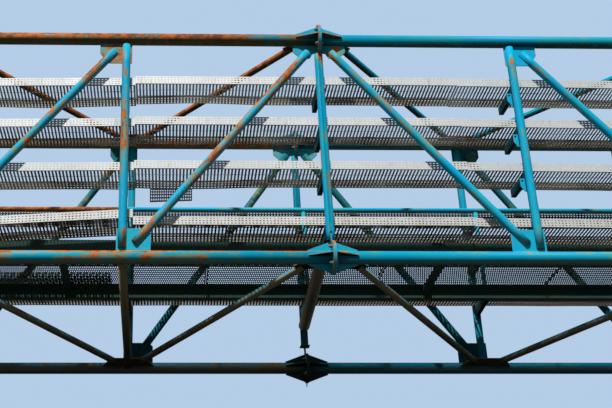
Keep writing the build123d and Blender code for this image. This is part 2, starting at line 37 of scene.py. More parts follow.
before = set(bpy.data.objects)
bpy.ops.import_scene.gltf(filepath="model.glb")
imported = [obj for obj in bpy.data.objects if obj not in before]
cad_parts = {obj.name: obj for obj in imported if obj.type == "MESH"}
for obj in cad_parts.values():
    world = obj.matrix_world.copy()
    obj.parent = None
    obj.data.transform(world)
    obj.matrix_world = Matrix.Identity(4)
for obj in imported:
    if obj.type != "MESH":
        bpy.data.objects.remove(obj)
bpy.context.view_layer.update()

import math
from typing import NamedTuple

import bpy
from bpy.props import FloatProperty, FloatVectorProperty, IntProperty, PointerProperty
from mathutils import Euler, Matrix, Vector, noise

# Metres. X runs along the bridge, Y from the front truss to the rear truss, Z up from the ground.


def middle(node):
    """The centre of a packed node's box."""
    low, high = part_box(node)
    return (low + high) / 2


# Structure, with its overall sizes read from the frame
BAYS_EACH_SIDE = 3
BAYS = range(-BAYS_EACH_SIDE, BAYS_EACH_SIDE + 1)
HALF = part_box("front_top_flange_joints")[1].x
BAY = HALF / BAYS_EACH_SIDE
CHORDS = {
    name: (middle(f"{name}_chord_left").y, middle(f"{name}_chord_left").z)
    for name in ("front_top", "front_bottom", "rear_top", "rear_bottom")
}

CHORD_OD, CHORD_WALL = 0.133, 0.006
WEB_OD, WEB_WALL = 0.089, 0.005
BRACE_OD, BRACE_WALL = 0.076, 0.005
STRUT_OD, STRUT_WALL = 0.133, 0.006
RAIL_OD, RAIL_POST_OD, RAIL_WALL = 0.060, 0.048, 0.004
WEB_SETBACK = 0.200
POST_TOP_GAP = 0.012
POST_FOOT_GAP = 0.035
BRACE_SHIFT = 0.150
STRUT_SKEW, STRUT_SLOT = 0.110, 0.110
STRUT_REAR_RISE = 0.090
SMALL_STRUT_BAY = -1
SEAT_GAP = 0.0003

FLANGE_OD, FLANGE_THICK = 0.350, 0.018
BOLT_CIRCLE, BOLT_HOLE, BOLT_COUNT = 0.250, 0.026, 4
DISC_CHAMFER = 0.003
RIB_LENGTH, RIB_THICK, RIB_TOE, RIB_RIM_STEP = 0.250, 0.012, 0.014, 0.006
LUG_WIDTH, LUG_LENGTH, LUG_ROOT, LUG_GAP = 0.060, 0.095, 0.012, 0.008
GUSSET_THICK, GUSSET_BACK, GUSSET_REACH, GUSSET_DEPTH = 0.012, 0.062, 0.285, 0.310
GUSSET_TOP_CUT, GUSSET_TOP_CHAMFER, GUSSET_FOOT_CHAMFER = 0.085, 0.130, 0.045
JOINT_GUSSET_SHOULDER, JOINT_GUSSET_PEAK, JOINT_GUSSET_NOSE = (0.103, 0.229), (0.188, 0.248), 0.155
BRACE_PLATE_REACH, BRACE_PLATE_DEPTH, BRACE_PLATE_CHAMFER = 0.300, 0.255, 0.110
JOINT_BRACE_START, JOINT_BRACE_PEAK, JOINT_BRACE_NOSE = (0.030, 0.025), (0.180, 0.060), (0.230, -0.025)
JOINT_BRACE_FOOT = 0.130
SLOT_CLEARANCE = 0.0005
SLOT_RUNOUT = 0.004
HANGER_HEIGHT, HANGER_PLATE, HANGER_PLATE_THICK = 0.262, 0.112, 0.010
HANGER_ROD, HANGER_NUT, HANGER_NUT_HEIGHT = 0.024, 0.036, 0.017
FOOT_OD, FOOT_WALL, FOOT_PLATE, FOOT_PLATE_THICK = 0.114, 0.008, 0.280, 0.020
FOOT_HOLE, FOOT_HOLE_CIRCLE, FOOT_INSET = 0.022, 0.300, 0.450
SADDLE_THICK, SADDLE_WIDTH, SADDLE_HEIGHT, SADDLE_LENGTH = 0.012, 0.120, 0.045, 0.160

CHORD_R = CHORD_OD / 2
WEB_R = WEB_OD / 2
FLANGE_R = FLANGE_OD / 2
RIM_R = FLANGE_R - RIB_RIM_STEP
LUG_MID = FLANGE_THICK / 2

ALONG = Vector((1, 0, 0))
UP = Vector((0, 0, 1))
DOWN = Vector((0, 0, -1))
BACK = Vector((0, 1, 0))
FRONT = Vector((0, -1, 0))
Y_REAR = CHORDS["rear_top"][0]
Z_FRONT_BOTTOM = CHORDS["front_bottom"][1]
Z_REAR_BOTTOM = CHORDS["rear_bottom"][1]
FLOOR_SLOPE = Vector((0, Y_REAR - CHORDS["front_bottom"][0], Z_REAR_BOTTOM - Z_FRONT_BOTTOM)).normalized()

# Plate outlines: along the chord, then away from its axis
RIB = [
    (FLANGE_THICK, CHORD_R),
    (FLANGE_THICK, RIM_R),
    (RIB_LENGTH, CHORD_R + RIB_TOE),
    (RIB_LENGTH, CHORD_R),
]
JOINT_GUSSET = [
    (FLANGE_THICK, CHORD_R),
    (FLANGE_THICK, RIM_R),
    (LUG_MID + WEB_R + POST_TOP_GAP, RIM_R),
    JOINT_GUSSET_SHOULDER,
    JOINT_GUSSET_PEAK,
    (GUSSET_REACH, JOINT_GUSSET_NOSE),
    (GUSSET_REACH, CHORD_R),
]
JOINT_BRACE_PLATE = [
    (FLANGE_THICK, CHORD_R),
    (FLANGE_THICK, RIM_R),
    *((BRACE_SHIFT + x, FLANGE_R + y) for x, y in (JOINT_BRACE_START, JOINT_BRACE_PEAK, JOINT_BRACE_NOSE)),
    (BRACE_SHIFT + JOINT_BRACE_FOOT, CHORD_R),
]
TOP_GUSSET = [
    (-GUSSET_BACK, CHORD_R),
    (-GUSSET_BACK, GUSSET_DEPTH),
    (GUSSET_REACH - GUSSET_TOP_CUT, GUSSET_DEPTH),
    (GUSSET_REACH, GUSSET_DEPTH - GUSSET_TOP_CHAMFER),
    (GUSSET_REACH, CHORD_R),
]
FOOT_GUSSET = [
    (-GUSSET_BACK, CHORD_R),
    (-GUSSET_BACK, GUSSET_DEPTH),
    (GUSSET_REACH - GUSSET_FOOT_CHAMFER, GUSSET_DEPTH),
    (GUSSET_REACH, GUSSET_DEPTH - GUSSET_FOOT_CHAMFER),
    (GUSSET_REACH, CHORD_R),
]
BRACE_PLATE = [
    (-BRACE_PLATE_REACH, CHORD_R),
    (-BRACE_PLATE_REACH + BRACE_PLATE_CHAMFER, BRACE_PLATE_DEPTH),
    (BRACE_PLATE_REACH - BRACE_PLATE_CHAMFER, BRACE_PLATE_DEPTH),
    (BRACE_PLATE_REACH, CHORD_R),
]


def post_x(bay):
    """Posts at the flanged frames stand on the lug of one flange plate."""
    if bay == 0:
        return -LUG_MID
    if abs(bay) == BAYS_EACH_SIDE:
        return math.copysign(HALF - LUG_MID, bay)
    return bay * BAY


def chord_node(chord, bay):
    """Where the axes of the web tubes meet a chord's axis."""
    y, z = CHORDS[chord]
    return Vector((bay * BAY, y, z))


# Sizes, colours and light that can be changed

def length_property(name, description, default):
    """A size in metres."""
    return FloatProperty(name=name, description=description, default=default, unit="LENGTH")


class BridgeSizes(bpy.types.PropertyGroup):
    """Pattern and small part sizes."""

    tray_pitch: length_property("Tray Pitch", "Slot spacing along a cable tray", 0.0362)
    tray_bar: length_property("Tray Bar", "Metal left between two tray slots", 0.020)
    tray_sheet: length_property("Tray Sheet", "Thickness of the tray sheet", 0.002)
    floor_pitch: length_property("Floor Pitch", "Slot spacing along the walkway", 0.0245)
    floor_row: length_property("Floor Row", "Spacing of slot rows across the walkway", 0.060)
    floor_bar: length_property("Floor Bar", "Metal left between two floor slots", 0.012)
    floor_strip: length_property("Floor Strip", "Metal left between two slot rows", 0.017)
    bolt_size: length_property("Bolt Size", "Shank diameter of the flange bolts", 0.024)
    weld_radius: length_property("Weld Radius", "Radius of the weld beads", 0.005)
    tube_sides: IntProperty(name="Tube Sides", description="Faces round a tube", default=32, min=12)


def colour_property(name, description, default):
    """An opaque colour."""
    return FloatVectorProperty(
        name=name, description=description, subtype="COLOR", size=4, min=0, max=1, default=(*default, 1)
    )


class BridgeColours(bpy.types.PropertyGroup):
    """Finish colours."""

    paint: colour_property("Paint", "Paint of the chords", (0.001, 0.320, 0.520))
    # Painted light: a lighter copy of the chord paint for the front posts and diagonals, the front gussets,
    # the rail, the clamps and the right-hand flange rims.
    bright: colour_property("Bright Paint", "Paint of the front posts and diagonals", (0.001, 0.365, 0.620))
    # Painted shade: a darker copy of the chord paint for the rear posts, diagonals and gusset plates, the
    # right rear top chord, the arms, the bolts and the feet.
    dim: colour_property("Dim Paint", "Paint of the rear posts and diagonals", (0.003, 0.130, 0.175))
    shade: colour_property("Shaded Paint", "Dull brown film of the low pieces", (0.310, 0.250, 0.140))
    rust: colour_property("Rust", "Bright fresh rust", (0.540, 0.165, 0.042))
    old_rust: colour_property("Old Rust", "Dark settled rust", (0.200, 0.068, 0.024))
    stain: colour_property("Stain", "Film round the rust patches", (0.220, 0.270, 0.110))
    # Mixed onto faces that look down: dirt, and painted shade that darkens the undersides.
    grime: colour_property("Grime", "Dirt on faces that look down", (0.160, 0.180, 0.120))
    # Mixed onto the lower half of the left front top chord: mould, and painted shade that darkens its
    # underside.
    mould: colour_property("Mould", "Green-black film low on the chords", (0.070, 0.075, 0.038))
    # Mixed onto the joints under their ribs, the undersides of the right front top chord, the top bracing and
    # the arms, and into the tubes: soot, and painted shade that darkens these places.
    soot: colour_property("Soot", "Dark dirt in the joints and in the tubes", (0.026, 0.030, 0.018))
    zinc: colour_property("Zinc", "Weathered zinc of the trays", (0.600, 0.600, 0.570))
    zinc_stain: colour_property("Zinc Stain", "Brown film on the zinc", (0.110, 0.092, 0.066))
    # A darker zinc for the far walls of the front trays, the lowest rear tray and the torn strip.
    old_zinc: colour_property("Old Zinc", "Dirty zinc of the far walls", (0.170, 0.150, 0.115))
    # Painted shade: a near-black zinc for the rear trays and the loose tray on the deck.
    dark_zinc: colour_property("Dark Zinc", "Blackened zinc of the rear trays", (0.060, 0.058, 0.050))
    deck: colour_property("Deck", "Dark paint of the walkway", (0.045, 0.105, 0.100))


class BridgeStage(bpy.types.PropertyGroup):
    """Floor, light and background."""

    floor: colour_property("Floor", "Colour of the studio floor", (0.62, 0.62, 0.61))
    background: colour_property("Background", "Colour behind the bridge", (0.46, 0.61, 0.80))
    sun: FloatProperty(name="Sun", description="Strength of the main lamp", default=4.7)
    fill: FloatProperty(name="Fill", description="Strength of the soft light from above", default=0.23)
    under: FloatProperty(name="Under", description="Strength of the soft light from below", default=0.17)


# Mesh making

GRAIN = "grain"
GRAIN_SHIFT = Vector((3.1, 5.3, 7.7))
SOFT_EDGE = 0.0012
FLAT_NORMAL = 0.9
BEAD_SIDES, BEAD_RIPPLE, BEAD_RIPPLE_SCALE, BEAD_STEP, RING_STEPS = 6, 0.16, 45, 0.02, 40
REACH_STEPS = 40


class Shape:
    """Points and faces gathered for one piece."""

    def __init__(self):
        self.points = []
        self.grain = []
        self.faces = []
        self.finishes = []
        self.smooths = []

    def add(self, points, faces, finish=0, smooth=False, grain=None):
        """Grain is where each point lies in its own tube, along it first."""
        base = len(self.points)
        self.points.extend(points)
        self.grain.extend(grain or points)
        self.more_faces(base, faces, finish, smooth)
        return base

    def more_faces(self, base, faces, finish=0, smooth=False):
        """Faces on points that are there from number base on."""
        self.faces.extend([[base + i for i in face] for face in faces])
        self.finishes.extend([finish] * len(faces))
        self.smooths.extend([smooth] * len(faces))

    def bar(self, corner, a, b, c, finish=0, ends=True):
        """A box from one corner and three edges. Without ends, its two faces across edge a are left out."""
        points = [corner, corner + a, corner + a + b, corner + b]
        points += [p + c for p in points]
        faces = [(3, 2, 1, 0), (4, 5, 6, 7), (0, 1, 5, 4), (2, 3, 7, 6)]
        if ends:
            faces += [(1, 2, 6, 5), (3, 0, 4, 7)]
        self.add(points, faces, finish)

    def turned(self, origin, axis, profile, sides, finish=0, smooth=True):
        """A closed profile of (along, radius) pairs turned about an axis."""
        across = axis.orthogonal().normalized()
        third = axis.cross(across)
        points = []
        for i in range(sides):
            angle = 2 * math.pi * (i + 0.5) / sides
            spoke = across * math.cos(angle) + third * math.sin(angle)
            points += [origin + axis * z + spoke * r for z, r in profile]
        n = len(profile)
        faces = []
        for i in range(sides):
            j = (i + 1) % sides
            faces += [(i * n + k, j * n + k, j * n + k + 1, i * n + k + 1) for k in range(n - 1)]
        faces.append(tuple(i * n for i in reversed(range(sides))))
        faces.append(tuple(i * n + n - 1 for i in range(sides)))
        self.add(points, faces, finish, smooth)

    def piece(self, name, materials, slot, *nodes):
        """Makes the object, which may stand for packed nodes."""
        mesh = bpy.data.meshes.new(name)
        mesh.from_pydata([tuple(p) for p in self.points], [], self.faces)
        mesh.polygons.foreach_set("material_index", self.finishes)
        mesh.polygons.foreach_set("use_smooth", self.smooths)
        grain = mesh.attributes.new(GRAIN, "FLOAT_VECTOR", "POINT")
        grain.data.foreach_set("vector", [value for place in self.grain for value in place])
        for material in materials:
            mesh.materials.append(material)
        mesh.update()
        piece = bpy.data.objects.new(name, mesh)
        bpy.context.scene.collection.objects.link(piece)
        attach(piece, "root")
        if nodes:
            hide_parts(*nodes)
        return piece


def pipe(shape, start, end, od, wall, side=BACK, slots=(0, 0), slot_width=0):
    """A hollow tube, square cut. A slot at either end takes a plate whose normal is side.

    Its finishes are 0 outside, 1 on the cut ends and 2 inside.
    """
    sides = bpy.context.scene.bridge_sizes.tube_sides
    axis = (end - start).normalized()
    length = (end - start).length
    across = (side - axis * side.dot(axis)).normalized()
    third = axis.cross(across)
    radius = od / 2
    open_sectors = ()
    if max(slots) > 0:
        edge = math.asin(slot_width / 2 / radius)
        half = sides // 2
        sweep = (math.pi - 2 * edge) / half
        angles = [-math.pi / 2 + edge + sweep * k for k in range(half + 1)]
        angles += [math.pi / 2 + edge + sweep * k for k in range(half + 1)]
        open_sectors = (half, 2 * half + 1)
    else:
        angles = [2 * math.pi * k / sides for k in range(sides)]
    inner_levels = [level for slot, level in zip(slots, (slots[0], length - slots[1])) if slot > 0]
    levels = [0, *inner_levels, length]
    count = len(angles)
    spokes = [across * math.cos(a) + third * math.sin(a) for a in angles]
    points = []
    grain = []
    shift = start.dot(GRAIN_SHIFT)
    for level in levels:
        for r in (radius, radius - wall):
            points += [start + axis * level + spoke * r for spoke in spokes]
            grain += [(level + shift, r * math.cos(a), r * math.sin(a)) for a in angles]

    def at(level, skin, k):
        """A point's number from its level, its skin (0 outside, 1 inside) and its place round the tube."""
        return (level * 2 + skin) * count + k % count

    last = len(levels) - 2
    walls, cuts, linings = [], [], []
    for i in range(last + 1):
        slotted = (i == 0 and slots[0] > 0) or (i == last and slots[1] > 0)
        for k in range(count):
            if slotted and k in open_sectors:
                cuts.append((at(i, 0, k), at(i, 1, k), at(i + 1, 1, k), at(i + 1, 0, k)))
                cuts.append((at(i, 1, k + 1), at(i, 0, k + 1), at(i + 1, 0, k + 1), at(i + 1, 1, k + 1)))
                inner = i + 1 if i == 0 else i
                cuts.append((at(inner, 0, k), at(inner, 1, k), at(inner, 1, k + 1), at(inner, 0, k + 1)))
                continue
            walls.append((at(i, 0, k), at(i, 0, k + 1), at(i + 1, 0, k + 1), at(i + 1, 0, k)))
            linings.append((at(i, 1, k + 1), at(i, 1, k), at(i + 1, 1, k), at(i + 1, 1, k + 1)))
            if i == 0:
                cuts.append((at(0, 0, k + 1), at(0, 0, k), at(0, 1, k), at(0, 1, k + 1)))
            if i == last:
                cuts.append((at(i + 1, 0, k), at(i + 1, 0, k + 1), at(i + 1, 1, k + 1), at(i + 1, 1, k)))
    base = shape.add(points, walls, 0, True, grain)
    shape.more_faces(base, cuts, 1)
    shape.more_faces(base, linings, 2, True)


def rectangle(x0, x1, y0, y1):
    """The outline of a rectangle."""
    return [(x0, y0), (x1, y0), (x1, y1), (x0, y1)]


def circle(x, y, radius, sides):
    """The outline of a round plate or hole."""
    steps = (2 * math.pi * k / sides for k in range(sides))
    return [(x + radius * math.cos(a), y + radius * math.sin(a)) for a in steps]


def plate(shape, origin, along, away, outline, thick, holes=(), finish=0, rim=1, soft=SOFT_EDGE):
    """A flat plate that holds the directions along and away, with softened edges and holes."""
    curve = bpy.data.curves.new("outline", "CURVE")
    curve.dimensions = "2D"
    curve.fill_mode = "BOTH"
    curve.extrude = thick / 2 - soft
    curve.bevel_depth = soft
    curve.bevel_resolution = 0
    curve.offset = -soft
    for ring in [outline, *holes]:
        spline = curve.splines.new("POLY")
        spline.points.add(len(ring) - 1)
        for point, (x, y) in zip(spline.points, ring):
            point.co = (x, y, 0, 1)
        spline.use_cyclic_u = True
    holder = bpy.data.objects.new("outline", curve)
    mesh = bpy.data.meshes.new_from_object(holder)
    normal = along.cross(away).normalized()
    place = Matrix((along, away, normal)).transposed()
    flat = [f.vertices[:] for f in mesh.polygons if abs(f.normal.z) > FLAT_NORMAL]
    side = [f.vertices[:] for f in mesh.polygons if abs(f.normal.z) <= FLAT_NORMAL]
    base = shape.add([origin + place @ v.co for v in mesh.vertices], flat, finish)
    shape.more_faces(base, side, rim)
    bpy.data.objects.remove(holder)
    bpy.data.curves.remove(curve)
    bpy.data.meshes.remove(mesh)


def bead(shape, path, normal, closed=False, finish=0):
    """A rippled weld bead along a path of points."""
    radius = bpy.context.scene.bridge_sizes.weld_radius
    sides = BEAD_SIDES
    points = []
    for i, place in enumerate(path):
        before = path[i - 1] if i or closed else place
        after = path[(i + 1) % len(path)] if i < len(path) - 1 or closed else place
        axis = (after - before).normalized()
        across = axis.cross(normal).normalized()
        r = radius * (1 + BEAD_RIPPLE * noise.noise(place * BEAD_RIPPLE_SCALE))
        for k in range(sides):
            angle = 2 * math.pi * k / sides
            points.append(place + (across * math.cos(angle) + across.cross(axis) * math.sin(angle)) * r)
    count = len(path)
    faces = []
    for i in range(count if closed else count - 1):
        j = (i + 1) % count
        for k in range(sides):
            m = (k + 1) % sides
            faces.append((i * sides + k, i * sides + m, j * sides + m, j * sides + k))
    if not closed:
        faces.append(tuple(range(sides)))
        faces.append(tuple((count - 1) * sides + k for k in reversed(range(sides))))
    shape.add(points, faces, finish, True)


def ring_bead(shape, centre, axis, radius):
    """A weld bead round a tube."""
    across = axis.orthogonal().normalized()
    third = axis.cross(across)
    ring = circle(0, 0, 1, RING_STEPS)
    bead(shape, [centre + (across * x + third * y) * radius for x, y in ring], axis, True)


def line_bead(shape, start, end, normal):
    """A weld bead along a straight edge."""
    steps = max(2, int((end - start).length / BEAD_STEP))
    bead(shape, [start.lerp(end, k / steps) for k in range(steps + 1)], normal)


def reach_along(outline, at, direction, half_width):
    """How far a plate reaches along a tube's axis, within the tube's width."""
    best = 0
    for (ax, ay), (bx, by) in zip(outline, outline[1:] + outline[:1]):
        for step in range(REACH_STEPS + 1):
            x = ax + (bx - ax) * step / REACH_STEPS - at[0]
            y = ay + (by - ay) * step / REACH_STEPS - at[1]
            if abs(x * direction[1] - y * direction[0]) <= half_width + SLOT_RUNOUT:
                best = max(best, x * direction[0] + y * direction[1])
    return best


# Node trees

def add_node(tree, kind, inputs=None, **settings):
    """A shader node with its inputs linked or set."""
    made = tree.nodes.new(kind)
    for key, value in settings.items():
        setattr(made, key, value)
    for key, value in (inputs or {}).items():
        if isinstance(value, bpy.types.NodeSocket):
            tree.links.new(value, made.inputs[key])
        else:
            made.inputs[key].default_value = value
    return made


def calc(tree, operation, a, b=0.0, c=0.0, clamp=False):
    """One step of arithmetic."""
    made = add_node(tree, "ShaderNodeMath", {0: a, 1: b, 2: c}, operation=operation, use_clamp=clamp)
    return made.outputs[0]


def ease(tree, value, low, high):
    """0 at low, 1 at high and smooth between them."""
    inputs = {"Value": value, "From Min": low, "From Max": high}
    return add_node(tree, "ShaderNodeMapRange", inputs, interpolation_type="SMOOTHSTEP").outputs[0]


def mix(tree, factor, a, b, blend="MIX"):
    """Colour a blended with colour b."""
    inputs = {0: factor, 6: a, 7: b}
    return add_node(tree, "ShaderNodeMix", inputs, data_type="RGBA", blend_type=blend).outputs[2]


def cloud(tree, coords, scale, detail=4.0, rough=0.6, stretch=None):
    """Noise from 0 to 1, stretched where the coordinates are."""
    if stretch:
        coords = add_node(tree, "ShaderNodeMapping", {"Vector": coords, "Scale": stretch}).outputs[0]
    inputs = {"Vector": coords, "Scale": scale, "Detail": detail, "Roughness": rough}
    return add_node(tree, "ShaderNodeTexNoise", inputs).outputs["Fac"]


def new_group(name, inputs, outputs):
    """A shader node group, with the sockets that it is given and that it puts out."""
    group = bpy.data.node_groups.new(name, "ShaderNodeTree")
    for socket, kind, default in inputs:
        made = group.interface.new_socket(socket, in_out="INPUT", socket_type=kind)
        made.default_value = default
    for socket, kind in outputs:
        group.interface.new_socket(socket, in_out="OUTPUT", socket_type=kind)
    return group, group.nodes.new("NodeGroupInput").outputs, group.nodes.new("NodeGroupOutput").inputs


# Finishes

FLOAT = "NodeSocketFloat"
COLOUR = "NodeSocketColor"
FINISH_OUTPUTS = [("Colour", COLOUR), ("Roughness", FLOAT), ("Height", FLOAT)]


class Paint(NamedTuple):
    """How a painted piece has weathered and where shade is painted on it, mostly as shares from 0 to 1."""

    rusted: float
    left: float = 0.0  # more rust towards the left
    top: float = 0.1  # more rust on faces that look up
    streaks: float = 0.2
    below: float = 0.5  # dirt and painted shade on faces that look down
    tone: str = "paint"
    left_of: float = -0.05  # place along the bridge where the rusty left begins
    dirt: str = "grime"
    line: float = -0.5  # rise of the surface normal where the dirt and painted shade begin


# Each piece's faces that look down are mixed with its dirt colour: a film of dirt that is also painted shade,
# darkest in the joints under the ribs, under the front top chord, the top bracing and the arms, and inside
# the tubes. The brighter and dimmer tones are lighter and darker copies of the chord paint: painted light and
# painted shade.
PAINTS = {
    "chord_front_top_left": Paint(0.38, 0.18, 0.26, 0.25, 0.95, left_of=-0.45, dirt="mould", line=-0.15),
    "chord_front_top_right": Paint(0.10, 0.0, 0.10, 0.10, 0.90, dirt="soot"),
    "chord_front_bottom_left": Paint(0.22, 0.06, 0.24, 0.45, 0.85),
    "chord_front_bottom_right": Paint(0.18, 0.0, 0.20, 0.30, 0.80),
    "chord_rear_top_left": Paint(0.45, 0.10, 0.20, 0.10, 0.80),
    "chord_rear_top_right": Paint(0.14, 0.0, 0.10, 0.10, 0.60, "dim"),
    "chord_rear_bottom_left": Paint(0.30, 0.0, 0.05, 0.05, 0.72, dirt="shade", line=0.5),
    "chord_rear_bottom_right": Paint(0.14, 0.0, 0.05, 0.05, 0.40, dirt="shade", line=0.2),
    "joint_front_top": Paint(0.24, 0.12, 0.12, 0.1, 1.0, dirt="soot", line=0.02),
    "joint_front_bottom": Paint(0.24, 0.22, 0.14, 0.1, 1.0, dirt="soot", line=0.02),
    "joint_rear_top": Paint(0.30, 0.10, 0.12, 0.1, 0.8),
    "joint_rear_bottom": Paint(0.10, 0.0, 0.05, 0.1, 0.8, "deck", dirt="soot"),
    "rim_front_top": Paint(0.50, 0.10, 0.14, 0.1, 0.3),
    "rim_front_bottom": Paint(0.46, 0.10, 0.1, 0.1, 0.3),
    "rim_rear_bottom": Paint(0.14, 0.0, 0.05, 0.1, 0.6, "deck"),
    "rim_right": Paint(0.34, 0.0, 0.24, 0.1, 0.3, "bright"),
    "rusted_edge": Paint(0.46, 0.10, 0.20, 0.1, 0.4),
    "bolt_steel": Paint(0.44, 0.10, 0.10, 0.05, 0.4, "dim"),
    "front_posts": Paint(0.23, 0.04, 0.0, 0.85, 0.3, "bright"),
    "front_diagonals": Paint(0.23, 0.15, 0.06, 0.70, 0.9, "bright"),
    "front_gusset_plates": Paint(0.08, 0.08, 0.1, 0.20, 0.3, "bright"),
    "rear_posts": Paint(0.18, 0.0, 0.0, 0.35, 0.3),
    "rear_diagonals": Paint(0.20, 0.12, 0.12, 0.3, 0.9, "dim"),
    "rear_gusset_plates": Paint(0.18, 0.0, 0.1, 0.2, 0.6, "dim"),
    "worn_gusset": Paint(0.32, 0.18, 0.1, 0.20, 0.3),
    "top_bracing": Paint(0.10, 0.62, 0.0, 0.10, 1.0, left_of=0.2, dirt="soot"),
    "bottom_bracing": Paint(0.24, 0.0, 0.06, 0.3, 1.0, dirt="shade", line=0.35),
    "struts": Paint(0.18, 0.0, 0.08, 0.1, 0.6, "shade"),
    "arms": Paint(0.16, 0.0, 0.0, 0.2, 0.75, "dim", dirt="soot"),
    "clamps": Paint(0.16, 0.0, 0.0, 0.2, 0.3, "bright"),
    "beams": Paint(0.14, 0.0, 0.12, 0.15, 0.40, "deck"),
    "floor": Paint(0.22, 0.0, 0.12, 0.15, 0.35, "deck"),
    "rail": Paint(0.14, 0.52, 0.16, 0.3, 0.6, "bright", left_of=-1.95),
    "rail_posts": Paint(0.22, 0.10, 0.0, 0.4, 0.3),
    "feet": Paint(0.30, 0.0, 0.2, 0.2, 0.4, "dim"),
    "tube_inside": Paint(0.35),
}

# Zinc of the trays: stained, stained below, colour
ZINCS = {
    "front_trays": (0.18, 0.75, "zinc"),
    # A darker zinc for the far walls, the lowest rear tray and the torn strip.
    "old_trays": (0.3, 0.5, "old_zinc"),
    # Painted shade: the rear trays and the loose tray take a near-black zinc.
    "dark_trays": (0.1, -0.4, "dark_zinc"),
}
# Faded paint has this much red added, and its green and blue multiplied
FADE_RED, FADE_GREEN, FADE_BLUE = 0.012, 1.08, 0.84
SPECULAR, BUMP_STRENGTH, PAINT_BUMP = 0.08, 0.6, 0.0015
ZINC_METAL, ZINC_BUMP = 0.25, 0.0006


def paint_values(name):
    """The plain numbers of one entry of PAINTS, under the names of the group's inputs."""
    fields = PAINTS[name]._asdict().items()
    return {key.replace("_", " ").title(): value for key, value in fields if isinstance(value, float)}


# Paint: where faces count as looking up, and how softly the dirt and painted shade on faces that look down
# and the rusty left set in
UP_START, UP_FULL, DIRT_AND_SHADE_SOFT, LEFT_SOFT = 0.15, 0.85, 0.40, 0.45
# Shares of the large, middle and fine noise in the level that decides what is rusty
PATCH_SHARE, CHIP_SHARE, PIT_SHARE = 0.55, 0.35, 0.10
# The level where rust begins on sound paint, and how far a fully rusty piece lowers it
RUST_LEVEL, RUST_DROP = 0.74, -0.52
# How far over that level the stain round a patch begins and ends, and the rust itself
HALO_START, HALO_FULL, RUST_START, RUST_FULL, HALO_STRENGTH = -0.095, 0.004, -0.016, 0.034, 0.75
PAINT_ROUGH, RUST_ROUGH, DIRT_ROUGH, RUST_DEPTH = 0.44, 0.38, 0.20, -0.55
RUN_STRETCH = (2.2, 18.0, 18.0)


def weathered_paint_group():
    """Faded paint that has chipped and run with rust, more on the left, on top and down the posts, with dirt
    and painted shade on faces that look down.
    """
    colours = bpy.context.scene.bridge_colours
    group, given, out = new_group(
        "weathered_paint",
        [
            ("Paint", COLOUR, colours.paint),
            ("Faded", COLOUR, colours.paint),
            ("Rust", COLOUR, colours.rust),
            ("Old Rust", COLOUR, colours.old_rust),
            ("Stain", COLOUR, colours.stain),
            ("Grime", COLOUR, colours.grime),
            *((socket, FLOAT, value) for socket, value in paint_values("tube_inside").items()),
        ],
        FINISH_OUTPUTS,
    )
    coords = add_node(group, "ShaderNodeTexCoord").outputs["Object"]
    place = add_node(group, "ShaderNodeSeparateXYZ", {0: coords}).outputs
    normal = add_node(group, "ShaderNodeNewGeometry").outputs["Normal"]
    facing = add_node(group, "ShaderNodeSeparateXYZ", {0: normal}).outputs["Z"]
    top = ease(group, facing, UP_START, UP_FULL)
    below = ease(group, facing, given["Line"], calc(group, "SUBTRACT", given["Line"], DIRT_AND_SHADE_SOFT))
    left = ease(group, place["X"], given["Left Of"], calc(group, "SUBTRACT", given["Left Of"], LEFT_SOFT))

    patches = cloud(group, coords, scale=2.3, detail=6.0, rough=0.62)
    chips = cloud(group, coords, scale=13.0, detail=5.0, rough=0.65)
    grain = add_node(group, "ShaderNodeAttribute", attribute_name=GRAIN).outputs["Vector"]
    runs = cloud(group, grain, scale=1.0, detail=4.0, rough=0.55, stretch=RUN_STRETCH)
    pits = cloud(group, coords, scale=90.0, detail=3.0, rough=0.6)

    level = calc(group, "MULTIPLY", patches, PATCH_SHARE)
    level = calc(group, "MULTIPLY_ADD", chips, CHIP_SHARE, level)
    level = calc(group, "MULTIPLY_ADD", pits, PIT_SHARE, level)
    run_push = calc(group, "MULTIPLY", calc(group, "SUBTRACT", runs, 0.5), given["Streaks"])
    level = calc(group, "ADD", level, run_push)
    amount = calc(group, "MULTIPLY_ADD", left, given["Left"], given["Rusted"])
    amount = calc(group, "MULTIPLY_ADD", top, given["Top"], amount)
    edge = calc(group, "MULTIPLY_ADD", amount, RUST_DROP, RUST_LEVEL)
    over = calc(group, "SUBTRACT", level, edge)
    rusted = ease(group, over, RUST_START, RUST_FULL)
    halo = ease(group, over, HALO_START, HALO_FULL)

    paint = mix(group, ease(group, patches, 0.35, 0.65), given["Paint"], given["Faded"])
    paint = mix(group, calc(group, "MULTIPLY", halo, HALO_STRENGTH), paint, given["Stain"])
    rust = mix(group, ease(group, chips, 0.40, 0.62), given["Old Rust"], given["Rust"])
    colour = mix(group, rusted, paint, rust)
    # Faces that look down take the dirt colour in mottled patches: dirt, and painted shade that makes the
    # undersides darker.
    mottle = ease(group, cloud(group, coords, scale=5.0, detail=5.0, rough=0.7), 0.18, 0.46)
    dirt = calc(group, "MULTIPLY", calc(group, "MULTIPLY", below, given["Below"]), mottle, clamp=True)
    colour = mix(group, dirt, colour, given["Grime"])

    group.links.new(colour, out["Colour"])
    rough = calc(group, "MULTIPLY_ADD", rusted, RUST_ROUGH, PAINT_ROUGH)
    rough = calc(group, "MULTIPLY_ADD", dirt, DIRT_ROUGH, rough, clamp=True)
    group.links.new(rough, out["Roughness"])
    height = calc(group, "MULTIPLY", calc(group, "SUBTRACT", pits, 0.5), rusted)
    height = calc(group, "MULTIPLY_ADD", rusted, RUST_DEPTH, height)
    group.links.new(height, out["Height"])
    return group


# Zinc: how much a face that looks down is stained and shaded evenly, and how strong the runs in the film are
FILM_AND_SHADE_BELOW, FILM_RUNS = 0.5, 0.25
ZINC_ROUGH, FILM_ROUGH, SPANGLE_DEPTH = 0.5, 0.3, 0.3
PALE_SPANGLE = (1.12, 1.12, 1.12, 1)
ZINC_RUN_STRETCH = (18.0, 6.0, 3.0)


